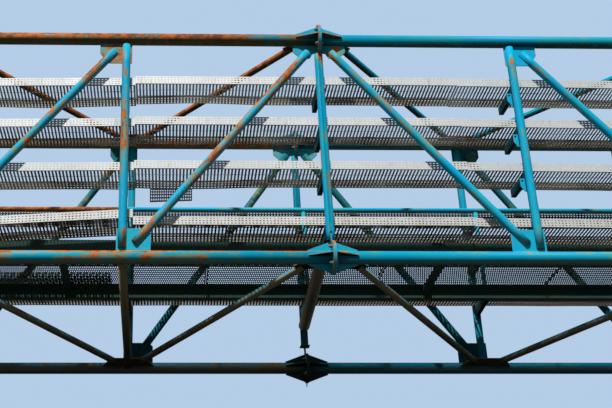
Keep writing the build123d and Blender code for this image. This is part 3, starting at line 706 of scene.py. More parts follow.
def weathered_zinc_group():
    """Pale zinc with a brown film in patches and runs, heavier on faces that look down, where it is also
    painted shade.
    """
    colours = bpy.context.scene.bridge_colours
    group, given, out = new_group(
        "weathered_zinc",
        [
            ("Zinc", COLOUR, colours.zinc),
            ("Stain", COLOUR, colours.zinc_stain),
            ("Rust", COLOUR, colours.rust),
            ("Stained", FLOAT, 0.2),
            ("Stained Below", FLOAT, 0.7),
        ],
        FINISH_OUTPUTS,
    )
    coords = add_node(group, "ShaderNodeTexCoord").outputs["Object"]
    normal = add_node(group, "ShaderNodeNewGeometry").outputs["Normal"]
    facing = add_node(group, "ShaderNodeSeparateXYZ", {0: normal}).outputs["Z"]
    below = ease(group, facing, -0.2, -0.8)
    patches = cloud(group, coords, scale=1.7, detail=6.0, rough=0.65)
    spangle = cloud(group, coords, scale=38.0, detail=3.0, rough=0.7)
    runs = cloud(group, coords, scale=1.0, detail=4.0, rough=0.6, stretch=ZINC_RUN_STRETCH)
    pale = mix(group, 1.0, given["Zinc"], PALE_SPANGLE, "MULTIPLY")
    zinc = mix(group, ease(group, spangle, 0.3, 0.7), given["Zinc"], pale)
    amount = calc(group, "MULTIPLY_ADD", below, given["Stained Below"], given["Stained"])
    film = calc(group, "MULTIPLY", ease(group, patches, 0.30, 0.72), amount)
    # Faces that look down also take the film evenly: brown stain, and painted shade on the undersides.
    even = calc(group, "MULTIPLY", given["Stained Below"], FILM_AND_SHADE_BELOW)
    film = calc(group, "MULTIPLY_ADD", below, even, film)
    film = calc(group, "MULTIPLY_ADD", ease(group, runs, 0.55, 0.75), FILM_RUNS, film, clamp=True)
    colour = mix(group, film, zinc, given["Stain"])
    specks = ease(group, cloud(group, coords, scale=7.0, detail=6.0, rough=0.75), 0.67, 0.72)
    colour = mix(group, specks, colour, given["Rust"])
    group.links.new(colour, out["Colour"])
    group.links.new(calc(group, "MULTIPLY_ADD", film, FILM_ROUGH, ZINC_ROUGH), out["Roughness"])
    group.links.new(calc(group, "MULTIPLY", spangle, SPANGLE_DEPTH), out["Height"])
    return group


def finish_material(name, group, values, metal=0.0, bump=PAINT_BUMP):
    """A Principled surface fed by one of the finish groups."""
    material = bpy.data.materials.new(name)
    material.use_nodes = True
    tree = material.node_tree
    shader = tree.nodes["Principled BSDF"]
    shader.inputs["Metallic"].default_value = metal
    shader.inputs["Specular IOR Level"].default_value = SPECULAR
    made = tree.nodes.new("ShaderNodeGroup")
    made.node_tree = group
    for key, value in values.items():
        made.inputs[key].default_value = value
    tree.links.new(made.outputs["Colour"], shader.inputs["Base Color"])
    tree.links.new(made.outputs["Roughness"], shader.inputs["Roughness"])
    relief = add_node(tree, "ShaderNodeBump", {"Height": made.outputs["Height"], "Distance": bump})
    relief.inputs["Strength"].default_value = BUMP_STRENGTH
    tree.links.new(relief.outputs[0], shader.inputs["Normal"])
    return material


def paint_finish(name):
    """Weathered paint as PAINTS gives it, in one of the bridge's colours, with dirt and painted shade on
    faces that look down.
    """
    colours = bpy.context.scene.bridge_colours
    group = bpy.data.node_groups.get("weathered_paint") or weathered_paint_group()
    red, green, blue, whole = getattr(colours, PAINTS[name].tone)
    values = paint_values(name)
    values["Paint"] = (red, green, blue, whole)
    values["Faded"] = (red + FADE_RED, green * FADE_GREEN, blue * FADE_BLUE, whole)
    values["Grime"] = getattr(colours, PAINTS[name].dirt)
    return finish_material(name, group, values)


def zinc_finish(name):
    """Weathered zinc as ZINCS gives it."""
    stained, below, tone = ZINCS[name]
    group = bpy.data.node_groups.get("weathered_zinc") or weathered_zinc_group()
    zinc = getattr(bpy.context.scene.bridge_colours, tone)
    values = {"Zinc": zinc, "Stained": stained, "Stained Below": below}
    return finish_material(name, group, values, ZINC_METAL, ZINC_BUMP)


def dress(node, *materials):
    """Gives a CAD node its finish."""
    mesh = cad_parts[node].data
    mesh.materials.clear()
    for material in materials:
        mesh.materials.append(material)


def tube_finishes(finish):
    """A tube's finish, with rust on its cut ends and a dark inside."""
    return [finish, rust_edge(), bpy.data.materials.get("tube_inside") or inside_finish()]


def rust_edge():
    """Rust of cut ends, rims and nuts."""
    return bpy.data.materials.get("rusted_edge") or paint_finish("rusted_edge")


def inside_finish():
    """Old rust inside the tubes, darkened with soot and painted shade."""
    colours = bpy.context.scene.bridge_colours
    group = bpy.data.node_groups.get("weathered_paint") or weathered_paint_group()
    values = paint_values("tube_inside")
    values.update({key: colours.soot for key in ("Paint", "Faded", "Stain", "Old Rust", "Grime")})
    values["Rust"] = colours.old_rust
    return finish_material("tube_inside", group, values)


# Chords

class BRIDGE_OT_chords(bpy.types.Operator):
    """Make the eight chord tubes."""

    bl_idname = "bridge.chords"
    bl_label = "Chords"

    def execute(self, context):
        for chord, (y, z) in CHORDS.items():
            for side, way in (("left", -1), ("right", 1)):
                shape = Shape()
                start = Vector((way * FLANGE_THICK, y, z))
                pipe(shape, start, Vector((way * (HALF - FLANGE_THICK), y, z)), CHORD_OD, CHORD_WALL)
                finish = tube_finishes(paint_finish(f"chord_{chord}_{side}"))
                shape.piece(f"{chord}_{side}_chord_tube", finish, "chord_paint", f"{chord}_chord_{side}")
        return {"FINISHED"}


# Flanged joints

def joint_plates(chord, bay):
    """The four sides of a joint, and which of them carry a larger plate."""
    centre = bay == 0
    if chord == "front_top":
        return [UP, FRONT, DOWN, BACK], ({2: JOINT_GUSSET, 3: JOINT_BRACE_PLATE} if centre else {})
    if chord == "front_bottom":
        return [DOWN, FRONT, UP, FLOOR_SLOPE], ({3: JOINT_BRACE_PLATE} if centre else {2: JOINT_GUSSET})
    if chord == "rear_top":
        return [UP, BACK, DOWN, FRONT], ({2: JOINT_GUSSET} if centre else {3: JOINT_BRACE_PLATE})
    return [DOWN, BACK, UP, -FLOOR_SLOPE], ({} if centre else {2: JOINT_GUSSET, 3: JOINT_BRACE_PLATE})


BOLT_SPOTS = [
    (BOLT_CIRCLE / 2 * math.cos(angle), BOLT_CIRCLE / 2 * math.sin(angle))
    for angle in (math.pi * (2 * k + 1) / BOLT_COUNT for k in range(BOLT_COUNT))
]
# Sides of holes, of flange discs and of turned parts
HOLE_SIDES, DISC_SIDES = 20, 64
HEX, ROUND, FINE_ROUND = 6, 16, 20

# Parts of a bolt in shank diameters, but for the crown's radius, which is a share of the head's
HEAD_TALL, NUT_TALL, HEAD_R, CROWN_R = 0.62, 0.80, 0.87, 0.84
WASHER_R, WASHER_CHAMFER_R = 1.0, 0.94
SHANK_R, SHANK_TIP_R, SHANK_EDGE, SHANK_REACH = 0.47, 0.38, 0.45, 0.52
# Parts of a bolt in metres
WASHER_EDGE, WASHER_THICK, CROWN_SOFT = 0.003, 0.004, 0.002


def half_joint(shape, welds, chord, bay, inward, with_lug):
    """One flange plate with its ribs, gussets and welds, on the half chord that lies inward."""
    origin = chord_node(chord, bay)
    along = Vector((inward, 0, 0))
    sides, plates = joint_plates(chord, bay)
    holes = [circle(x, y, BOLT_HOLE / 2, HOLE_SIDES) for x, y in BOLT_SPOTS] if bay else []
    disc = circle(0, 0, FLANGE_R, DISC_SIDES)
    middle_of_disc = origin + along * FLANGE_THICK / 2
    rim = 2 if bay == 0 and inward > 0 else 1
    plate(shape, middle_of_disc, BACK, UP, disc, FLANGE_THICK, holes, rim=rim, soft=DISC_CHAMFER)
    back = origin + along * FLANGE_THICK
    ring_bead(welds, back, along, CHORD_R)
    if with_lug:
        lug = rectangle(-LUG_WIDTH / 2, LUG_WIDTH / 2, FLANGE_R - LUG_ROOT, FLANGE_R + LUG_LENGTH)
        plate(shape, origin + along * LUG_MID, BACK, sides[2], lug, FLANGE_THICK)
    for i, away in enumerate(sides):
        outline = plates.get(i, RIB)
        plate(shape, origin, along, away, outline, RIB_THICK)
        normal = along.cross(away).normalized()
        reach = max(x for x, y in outline if y == CHORD_R)
        for face in (-1, 1):
            offset = normal * face * RIB_THICK / 2
            foot = origin + away * CHORD_R + offset
            line_bead(welds, foot + along * FLANGE_THICK, foot + along * reach, away)
            line_bead(welds, foot + along * FLANGE_THICK, back + away * RIM_R + offset, along)


def bolt(shape, place, axis, grip):
    """A hexagon bolt through two flange plates, with washers and a nut."""
    size = bpy.context.scene.bridge_sizes.bolt_size
    head = size * HEAD_R
    washer = [(0, size * WASHER_R), (WASHER_EDGE, size * WASHER_R), (WASHER_THICK, size * WASHER_CHAMFER_R)]
    for way, tall in ((1, HEAD_TALL * size), (-1, NUT_TALL * size)):
        out = axis * way
        face = place + out * grip / 2
        shape.turned(face, out, washer, FINE_ROUND, 1)
        crown = [(WASHER_THICK, head), (tall - CROWN_SOFT, head), (tall + CROWN_SOFT, head * CROWN_R)]
        shape.turned(face, out, crown, HEX, 0, False)
    end = place - axis * (grip / 2 + NUT_TALL * size)
    tip = [(0, SHANK_R), (SHANK_EDGE, SHANK_R), (SHANK_REACH, SHANK_TIP_R)]
    shape.turned(end, -axis, [(size * z, size * r) for z, r in tip], ROUND)


class BRIDGE_OT_flange_joints(bpy.types.Operator):
    """Make the flanged chord joints, their bolts and their welds."""

    bl_idname = "bridge.flange_joints"
    bl_label = "Flanged Joints"

    def execute(self, context):
        right_rim = paint_finish("rim_right")
        bolt_steel = paint_finish("bolt_steel")
        for chord in CHORDS:
            paint = paint_finish(f"joint_{chord}")
            rim = rust_edge() if chord == "rear_top" else paint_finish(f"rim_{chord}")
            shape, welds, bolts = Shape(), Shape(), Shape()
            half_joint(shape, welds, chord, 0, -1, chord != "rear_bottom")
            half_joint(shape, welds, chord, 0, 1, False)
            half_joint(shape, welds, chord, -BAYS_EACH_SIDE, 1, True)
            half_joint(shape, welds, chord, BAYS_EACH_SIDE, -1, True)
            for k, (y, z) in enumerate(BOLT_SPOTS):
                place = chord_node(chord, 0) + BACK * y + UP * z
                bolt(bolts, place, ALONG if k % 3 else -ALONG, 2 * FLANGE_THICK)
            finish = [paint, rim, right_rim if chord.startswith("front") else rim]
            shape.piece(f"{chord}_joint_plates", finish, "joint_paint", f"{chord}_flange_joints")
            welds.piece(f"{chord}_joint_welds", [paint], "joint_paint")
            bolts.piece(f"{chord}_joint_bolts", [bolt_steel, rust_edge()], "joint_paint")
        return {"FINISHED"}


# Posts, diagonals and gusset plates

def slotted_web(shape, start_node, end_node, plates, od, wall, normal, shift=(0, 0)):
    """A tube between two nodes, its ends slotted over their plates."""
    p0 = start_node + Vector((shift[0], 0, 0))
    p1 = end_node + Vector((shift[1], 0, 0))
    axis = (p1 - p0).normalized()
    a = p0 + axis * WEB_SETBACK
    b = p1 - axis * WEB_SETBACK
    depths = []
    for outline, base, tip, way in ((plates[0], start_node, a, axis), (plates[1], end_node, b, -axis)):
        local = (abs(way.x), Vector((0, way.y, way.z)).length)
        offset = tip - base
        at = (offset.x * math.copysign(1, way.x), Vector((0, offset.y, offset.z)).length)
        depths.append(reach_along(outline, at, local, od / 2) + SLOT_RUNOUT)
    pipe(shape, a, b, od, wall, normal, tuple(depths), GUSSET_THICK + 2 * SLOT_CLEARANCE)


def truss_posts(shape, top, bottom):
    """Posts slotted over the lugs of the flanged frames and over the gusset plates between them."""
    y, z_high = CHORDS[top]
    z_low = CHORDS[bottom][1]
    for bay in BAYS:
        if bay % BAYS_EACH_SIDE:
            foot, head, thick, side = CHORD_R + POST_FOOT_GAP, CHORD_R + POST_TOP_GAP, GUSSET_THICK, BACK
            slots = (GUSSET_DEPTH - foot + SLOT_RUNOUT, GUSSET_DEPTH - head + SLOT_RUNOUT)
        else:
            foot = head = FLANGE_R + LUG_GAP
            thick, side = FLANGE_THICK, ALONG
            slots = (LUG_LENGTH - LUG_GAP + SLOT_RUNOUT,) * 2
            if bottom == "rear_bottom" and bay == 0:
                foot = HANGER_HEIGHT + HANGER_PLATE_THICK
                slots = (0, slots[1])
        low = Vector((post_x(bay), y, z_low + foot))
        high = Vector((post_x(bay), y, z_high - head))
        pipe(shape, low, high, WEB_OD, WEB_WALL, side, slots, thick + 2 * SLOT_CLEARANCE)


def truss_diagonals(shape, top, bottom):
    """Diagonals that fall away from the middle of the bridge."""
    for bay in range(-BAYS_EACH_SIDE + 1, BAYS_EACH_SIDE):
        for way in ((-1, 1) if bay == 0 else (int(math.copysign(1, bay)),)):
            outer = abs(bay + way) == BAYS_EACH_SIDE
            plates = (JOINT_GUSSET if bay == 0 else TOP_GUSSET, JOINT_GUSSET if outer else FOOT_GUSSET)
            ends = chord_node(top, bay), chord_node(bottom, bay + way)
            slotted_web(shape, *ends, plates, WEB_OD, WEB_WALL, BACK)


# Finish number of the one gusset plate that has lost most of its paint
WORN = 3


def truss_gussets(shape, welds, top, bottom):
    """The gusset plates between the flanged frames, with their welds."""
    for bay in range(-BAYS_EACH_SIDE + 1, BAYS_EACH_SIDE):
        if bay == 0:
            continue
        out = Vector((math.copysign(1, bay), 0, 0))
        for chord, along, away, outline in ((top, out, DOWN, TOP_GUSSET), (bottom, -out, UP, FOOT_GUSSET)):
            origin = chord_node(chord, bay)
            worn = chord == "front_top" and bay < 0
            plate(shape, origin, along, away, outline, GUSSET_THICK, finish=WORN if worn else 0)
            for face in (-1, 1):
                foot = origin + away * CHORD_R + BACK * face * GUSSET_THICK / 2
                line_bead(welds, foot - along * GUSSET_BACK, foot + along * GUSSET_REACH, away)


class BRIDGE_OT_trusses(bpy.types.Operator):
    """Make the posts, diagonals and gusset plates of both trusses."""

    bl_idname = "bridge.trusses"
    bl_label = "Trusses"

    def execute(self, context):
        worn = paint_finish("worn_gusset")
        for side in ("front", "rear"):
            top, bottom = f"{side}_top", f"{side}_bottom"
            posts, diagonals, gussets, welds = Shape(), Shape(), Shape(), Shape()
            truss_posts(posts, top, bottom)
            truss_diagonals(diagonals, top, bottom)
            truss_gussets(gussets, welds, top, bottom)
            for part, shape in (("posts", posts), ("diagonals", diagonals), ("gusset_plates", gussets)):
                finish = tube_finishes(paint_finish(f"{side}_{part}")) + [worn]
                slot = "joint_paint" if part == "gusset_plates" else "tube_paint"
                shape.piece(f"{side}_truss_{part}", finish, slot, f"{side}_{part}")
            welds.piece(f"{side}_gusset_welds", finish[:1], "joint_paint")
        return {"FINISHED"}


# Bracing

def bracing(tubes, plates, front, rear, away):
    """A zigzag from the front chord's even nodes to the rear chord's odd nodes."""
    normal = ALONG.cross(away)
    for bay in range(-BAYS_EACH_SIDE + 1, BAYS_EACH_SIDE):
        if bay % 2:
            plate(plates, chord_node(rear, bay), ALONG, -away, BRACE_PLATE, GUSSET_THICK)
            continue
        if bay:
            plate(plates, chord_node(front, bay), ALONG, away, BRACE_PLATE, GUSSET_THICK)
        for way in (-1, 1):
            outer = abs(bay + way) == BAYS_EACH_SIDE
            pair = (BRACE_PLATE if bay else JOINT_BRACE_PLATE, JOINT_BRACE_PLATE if outer else BRACE_PLATE)
            shift = (0 if bay else BRACE_SHIFT * way, -BRACE_SHIFT * way if outer else 0)
            ends = chord_node(front, bay), chord_node(rear, bay + way)
            slotted_web(tubes, *ends, pair, BRACE_OD, BRACE_WALL, normal, shift)


class BRIDGE_OT_bracing(bpy.types.Operator):
    """Make the top and bottom bracing and its plates."""

    bl_idname = "bridge.bracing"
    bl_label = "Bracing"

    def execute(self, context):
        for level, away in (("top", BACK), ("bottom", FLOOR_SLOPE)):
            finish = paint_finish(f"{level}_bracing")
            tubes, plates = Shape(), Shape()
            bracing(tubes, plates, f"front_{level}", f"rear_{level}", away)
            tubes.piece(f"{level}_bracing_tubes", tube_finishes(finish), "tube_paint", f"{level}_bracing")
            sheets = [finish, rust_edge()]
            plates.piece(f"{level}_bracing_sheets", sheets, "joint_paint", f"{level}_bracing_plates")
        return {"FINISHED"}


# Cross struts and the hanger

THREAD_PITCH, THREAD_DEPTH = 0.003, 0.0012
NUT_SOFT, NUT_SOFT_R = 0.002, 0.94
PIN_R, PIN_LENGTH, PIN_TIP, PIN_TIP_R, PIN_SINK = 0.006, 0.045, 0.003, 0.0042, 0.001


def cross_struts(shape):
    """Large struts at the flanged frames, and a small one between two nodes."""
    width = GUSSET_THICK + 2 * SLOT_CLEARANCE
    normal = ALONG.cross(FLOOR_SLOPE)
    for bay in (-BAYS_EACH_SIDE, 0, BAYS_EACH_SIDE):
        inward = -1 if bay >= 0 else 1
        start = chord_node("front_bottom", bay) + ALONG * inward * STRUT_SKEW
        start += FLOOR_SLOPE * (CHORD_R + POST_FOOT_GAP)
        end = Vector((post_x(bay), Y_REAR - WEB_R, Z_FRONT_BOTTOM + STRUT_REAR_RISE))
        lean = end - start
        end.y -= STRUT_OD / 2 * abs(lean.z) / lean.y + SEAT_GAP
        pipe(shape, start, end, STRUT_OD, STRUT_WALL, normal, (STRUT_SLOT, 0), width)
    start = chord_node("front_bottom", SMALL_STRUT_BAY) + FLOOR_SLOPE * (CHORD_R + SEAT_GAP)
    end = chord_node("rear_bottom", SMALL_STRUT_BAY) - FLOOR_SLOPE * (CHORD_R + POST_TOP_GAP)
    slot = BRACE_PLATE_DEPTH - CHORD_R - POST_TOP_GAP + SLOT_RUNOUT
    pipe(shape, start, end, WEB_OD, WEB_WALL, normal, (0, slot), width)


def post_hanger(shape):
    """The end plate of the middle rear post, with its threaded rod and nut."""
    place = Vector((post_x(0), Y_REAR, Z_REAR_BOTTOM + HANGER_HEIGHT))
    half = HANGER_PLATE / 2
    square = rectangle(-half, half, -half, half)
    plate(shape, place + UP * HANGER_PLATE_THICK / 2, ALONG, BACK, square, HANGER_PLATE_THICK)
    length = HANGER_HEIGHT - FLANGE_R
    turns = int(length / THREAD_PITCH)
    thread = [(length * k / turns, HANGER_ROD / 2 - THREAD_DEPTH * (k % 2)) for k in range(turns + 1)]
    shape.turned(place, DOWN, thread, FINE_ROUND, 1)
    nut = HANGER_NUT / 2 / math.cos(math.pi / HEX)
    crown = [(0, nut * NUT_SOFT_R), (NUT_SOFT, nut), (HANGER_NUT_HEIGHT, nut)]
    shape.turned(place, DOWN, crown, HEX, 1, False)


class BRIDGE_OT_struts(bpy.types.Operator):
    """Make the cross struts and the hanger under the middle rear post."""

    bl_idname = "bridge.struts"
    bl_label = "Cross Struts"

    def execute(self, context):
        finish = paint_finish("struts")
        struts, hanger, pin = Shape(), Shape(), Shape()
        cross_struts(struts)
        struts.piece("cross_strut_tubes", tube_finishes(finish), "tube_paint", "cross_struts")
        post_hanger(hanger)
        hanger.piece("middle_post_hanger_rod", [finish, rust_edge()], "joint_paint", "middle_post_hanger")
        place = Vector((post_x(0), Y_REAR, Z_REAR_BOTTOM - FLANGE_R + PIN_SINK))
        profile = [(0, PIN_R), (PIN_LENGTH, PIN_R), (PIN_LENGTH + PIN_TIP, PIN_TIP_R)]
        pin.turned(place, DOWN, profile, ROUND)
        pin.piece("joint_drain_pin", [finish], "joint_paint")
        return {"FINISHED"}


# Cable trays

# Strips along a tray: their heights on a wall, and across its floor their place as a share and their width
WALL_STRIPS = [(0.0, 0.014), (0.025, 0.041), (0.052, 0.068), (0.079, 1.0)]
FLOOR_STRIPS = [(0.0, 0.014), (0.3, 0.008), (0.6, 0.014), (0.8, 0.008), (1.0, 0.014)]
TOP_STRIP, LIP, STRIP_STEP, BAR_INSET = 0.012, 0.008, 0.30, 0.0002
PLACE_DIGITS, SEAM_LIMIT = 4, 0.02


def tray_sections(node):
    """The underside of each section, as points along X, read from the packed tray."""
    lows = {}
    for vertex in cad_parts[node].data.vertices:
        x = round(vertex.co.x, PLACE_DIGITS)
        lows[x] = min(lows.get(x, vertex.co.z), vertex.co.z)
    sections = [[]]
    for x in sorted(lows):
        if sections[-1] and x - sections[-1][-1][0] < SEAM_LIMIT:
            sections.append([])
        sections[-1].append((x, lows[x]))
    return [s for s in sections if len(s) > 1]


def height_at(section, x):
    """The height of a section's underside at a place along the bridge."""
    for (x0, z0), (x1, z1) in zip(section, section[1:]):
        if x <= x1:
            return z0 + (z1 - z0) * max(0, x - x0) / (x1 - x0)
    return section[-1][1]


def perforated_trough(shape, section, y0, y1, wall):
    """A trough of punched sheet: long strips, and bars between the slots."""
    sizes = bpy.context.scene.bridge_sizes
    sheet, pitch, wide_bar = sizes.tray_sheet, sizes.tray_pitch, sizes.tray_bar
    x0, x1 = section[0][0], section[-1][0]

    def strip(a, b, ya, yb, za, zb, finish=0):
        """A flat bar from a to b that follows the section's underside."""
        low = height_at(section, a)
        run = Vector((b - a, 0, height_at(section, b) - low))
        shape.bar(Vector((a, ya, low + za)), run, BACK * (yb - ya), UP * (zb - za), finish)

    kinks = [x for x, z in section[1:-1]]
    steps = max(1, round((x1 - x0) / STRIP_STEP))
    stops = sorted([x0 + (x1 - x0) * k / steps for k in range(steps + 1)] + kinks)
    walls = [(a, min(b, wall)) for a, b in WALL_STRIPS if a < wall]
    if walls[-1][1] < wall:
        walls.append((wall - TOP_STRIP, wall))
    for a, b in zip(stops, stops[1:]):
        for share, wide in FLOOR_STRIPS:
            ya = y0 + (y1 - y0 - wide) * share
            strip(a, b, ya, ya + wide, 0, sheet)
        for finish, face in enumerate((y0, y1 - sheet)):
            for za, zb in walls:
                strip(a, b, face, face + sheet, za, zb, finish)
        strip(a, b, y0 + sheet, y0 + sheet + LIP, wall - sheet, wall)
        strip(a, b, y1 - sheet - LIP, y1 - sheet, wall - sheet, wall, 1)
    count = int((x1 - x0 - wide_bar) / pitch)
    spare = (x1 - x0 - wide_bar - count * pitch) / 2
    for k in range(count + 1):
        xa = x0 + spare + k * pitch
        xb = xa + wide_bar
        strip(xa, xb, y0, y1, BAR_INSET, sheet - BAR_INSET)
        strip(xa, xb, y0 + BAR_INSET, y0 + sheet - BAR_INSET, 0, wall)
        strip(xa, xb, y1 - sheet + BAR_INSET, y1 - BAR_INSET, 0, wall, 1)


# Where the far edge of a tray is bent: place along the bridge, half width and how far up
TRAY_BENDS = {
    "front_tray_1": [(-3.0, 0.45, -0.022), (-1.3, 0.45, 0.018)],
    "front_tray_3": [(-1.5, 0.60, -0.026)],
}
# Waves in the sheet: how close together, which row of the noise and how strong
DENT_WAVES = [(1.1, 0, 1.0), (3.2, 5, 0.4)]
DENT, DENT_NEAR_EDGE = 0.004, 0.15


def dent(shape, node, seed):
    """Bends the sheet a little, most at the far edge."""
    low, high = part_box(node)
    bends = TRAY_BENDS.get(node, ())
    for point in shape.points:
        share = min(1, max(0, (point.y - low.y) / (high.y - low.y)))
        wave = sum(tall * noise.noise(Vector((point.x * near, seed, row))) for near, row, tall in DENT_WAVES)
        bend = sum(up * math.exp(-(((point.x - at) / half) ** 2)) for at, half, up in bends)
        point.z += wave * DENT * (DENT_NEAR_EDGE + share) + bend * share


# The torn strip: where it hangs, its strips, and how it curls, sags and ripples
SCRAP_START, SCRAP_LENGTH, SCRAP_DROP, SCRAP_RISE = -1.838, 0.453, 0.100, -0.022
SCRAP_ROWS, SCRAP_STRIP, SCRAP_CURL, SCRAP_SAG = 4, 0.011, 0.050, 0.016
SCRAP_RIPPLE, SCRAP_RIPPLE_SCALE, SCRAP_RIPPLE_ROW = 0.004, 9, 3


def torn_strip(shape):
    """A torn strip of tray that hangs from the far edge of the third row."""
    sizes = bpy.context.scene.bridge_sizes
    section = next(s for s in tray_sections("front_tray_3") if s[0][0] < SCRAP_START < s[-1][0])
    top = height_at(section, SCRAP_START) + SCRAP_RISE
    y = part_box("front_tray_3")[1].y - 2 * sizes.tray_sheet
    for k in range(SCRAP_ROWS + 1):
        corner = Vector((SCRAP_START, y, top - SCRAP_DROP * k / SCRAP_ROWS))
        shape.bar(corner, ALONG * SCRAP_LENGTH, BACK * sizes.tray_sheet, DOWN * SCRAP_STRIP)
    count = int(SCRAP_LENGTH / sizes.floor_pitch)
    inner = BACK * (sizes.tray_sheet - 2 * BAR_INSET)
    drop = DOWN * (SCRAP_DROP + SCRAP_STRIP - 2 * BAR_INSET)
    for k in range(count + 1):
        x = SCRAP_START + (SCRAP_LENGTH - sizes.floor_bar) * k / count
        shape.bar(Vector((x, y + BAR_INSET, top - BAR_INSET)), ALONG * sizes.floor_bar, inner, drop)
    for point in shape.points:
        fall = (top - point.z) / SCRAP_DROP
        along = (point.x - SCRAP_START) / SCRAP_LENGTH
        ripple = noise.noise(Vector((point.x * SCRAP_RIPPLE_SCALE, fall, SCRAP_RIPPLE_ROW)))
        point.y += SCRAP_CURL * fall * fall
        point.z -= SCRAP_SAG * fall * (1 - along) + SCRAP_RIPPLE * ripple * fall


class BRIDGE_OT_trays(bpy.types.Operator):
    """Make the punched cable trays."""

    bl_idname = "bridge.trays"
    bl_label = "Cable Trays"

    def execute(self, context):
        lit, darker_finish, dark = (zinc_finish(name) for name in ZINCS)
        # The rear trays and the loose tray take the near-black zinc, which is painted shade.
        finishes = {"front": [lit, darker_finish], "rear": [dark, dark], "rear_tray_3": [darker_finish, darker_finish]}
        names = [f"front_tray_{k}" for k in range(1, 5)] + [f"rear_tray_{k}" for k in range(1, 4)]
        for seed, node in enumerate(names):
            low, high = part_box(node)
            sections = tray_sections(node)
            wall = high.z - max(z for section in sections for x, z in section)
            shape = Shape()
            for section in sections:
                perforated_trough(shape, section, low.y, high.y, wall)
            dent(shape, node, seed)
            finish = finishes.get(node) or finishes[node.split("_")[0]]
            shape.piece(f"{node}_punched_sheet", finish, "galvanised_tray", node)
        low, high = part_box("loose_tray_on_deck")
        loose, scrap = Shape(), Shape()
        perforated_trough(loose, [(low.x, low.z), (high.x, low.z)], low.y, high.y, high.z - low.z)
        loose.piece("loose_tray_punched_sheet", [dark, dark], "galvanised_tray", "loose_tray_on_deck")
        torn_strip(scrap)
        scrap.piece("torn_tray_strip", [darker_finish], "galvanised_tray")
        return {"FINISHED"}


# Bracket arms

ARM_FOOT_THICK, ARM_ROOT_DEPTH = 0.008, 0.112
CLAMP_BAY, CLAMP_ROWS, CLAMP_THICK = 1, (1, 2, 3), 0.008
CLAMP_REACH, CLAMP_CUT = (-0.082, 0.032, 0.149), (0.55, 0.6)
CLAMP_HOLE_AT, CLAMP_HOLE_R = (-0.058, 0.026), 0.012


class BRIDGE_OT_tray_arms(bpy.types.Operator):
    """Finish the bracket arms and make the clamp plates under three of them."""

    bl_idname = "bridge.tray_arms"
    bl_label = "Tray Arms"

    def execute(self, context):
        finish = paint_finish("arms")
        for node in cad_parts:
            if "tray_arms" in node:
                dress(node, finish)
        shape = Shape()
        left, right, drop = CLAMP_REACH
        cut_along, cut_down = left * CLAMP_CUT[0], drop * CLAMP_CUT[1]
        outline = [(left, 0), (right, 0), (right, drop), (cut_along, drop), (left, cut_down)]
        hole = circle(*CLAMP_HOLE_AT, CLAMP_HOLE_R, ROUND)
        for row in CLAMP_ROWS:
            low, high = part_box(f"front_tray_arms_{row}")
            back = low.y + ARM_FOOT_THICK + SEAT_GAP + CLAMP_THICK / 2
            place = Vector((CLAMP_BAY * BAY, back, high.z - ARM_ROOT_DEPTH - SEAT_GAP))
            plate(shape, place, ALONG, DOWN, outline, CLAMP_THICK, [hole])
        shape.piece("arm_clamp_plates", [paint_finish("clamps"), rust_edge()], "arm_paint")
        return {"FINISHED"}


# Walkway

def floor_panel(shape, x0, x1):
    """A punched panel: strips along the bridge, two end strips, and short bars that leave staggered slots."""
    sizes = bpy.context.scene.bridge_sizes
    wide, pitch = sizes.floor_strip, sizes.floor_row
    low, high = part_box("walkway_floor")
    thick = UP * (high.z - low.z)
    inner = UP * (high.z - low.z - 2 * BAR_INSET)
    rows = int((high.y - low.y - wide) / pitch)
    margin = (high.y - low.y - rows * pitch - wide) / 2
    for row in range(rows + 1):
        ya = low.y if row == 0 else low.y + margin + row * pitch
        yb = high.y if row == rows else low.y + margin + row * pitch + wide
        shape.bar(Vector((x0, ya, low.z)), ALONG * (x1 - x0), BACK * (yb - ya), thick)
    for end in (x0, x1 - wide):
        shape.bar(Vector((end, low.y, low.z + BAR_INSET)), ALONG * wide, BACK * (high.y - low.y), inner)
    across = BACK * (pitch - wide + 2 * BAR_INSET)
    for row in range(rows):
        ya = low.y + margin + row * pitch + wide
        x = x0 + wide + (sizes.floor_pitch / 2 if row % 2 else 0)
        while x < x1 - wide - sizes.floor_bar:
            corner = Vector((x, ya - BAR_INSET, low.z + BAR_INSET))
            shape.bar(corner, across, inner, ALONG * sizes.floor_bar, ends=False)
            x += sizes.floor_pitch


class BRIDGE_OT_walkway(bpy.types.Operator):
    """Make the punched floor and finish the beams and joists."""

    bl_idname = "bridge.walkway"
    bl_label = "Walkway"

    def execute(self, context):
        finish = paint_finish("beams")
        for node in ("walkway_near_beam", "walkway_far_beam", "walkway_joists"):
            dress(node, finish)
        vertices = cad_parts["walkway_floor"].data.vertices
        edges = sorted({round(vertex.co.x, PLACE_DIGITS) for vertex in vertices})
        shape = Shape()
        for x0, x1 in zip(edges[::2], edges[1::2]):
            floor_panel(shape, x0, x1)
        sheet = [paint_finish("floor")]
        shape.piece("walkway_floor_punched_sheet", sheet, "perforated_floor", "walkway_floor")
        return {"FINISHED"}


# Handrail

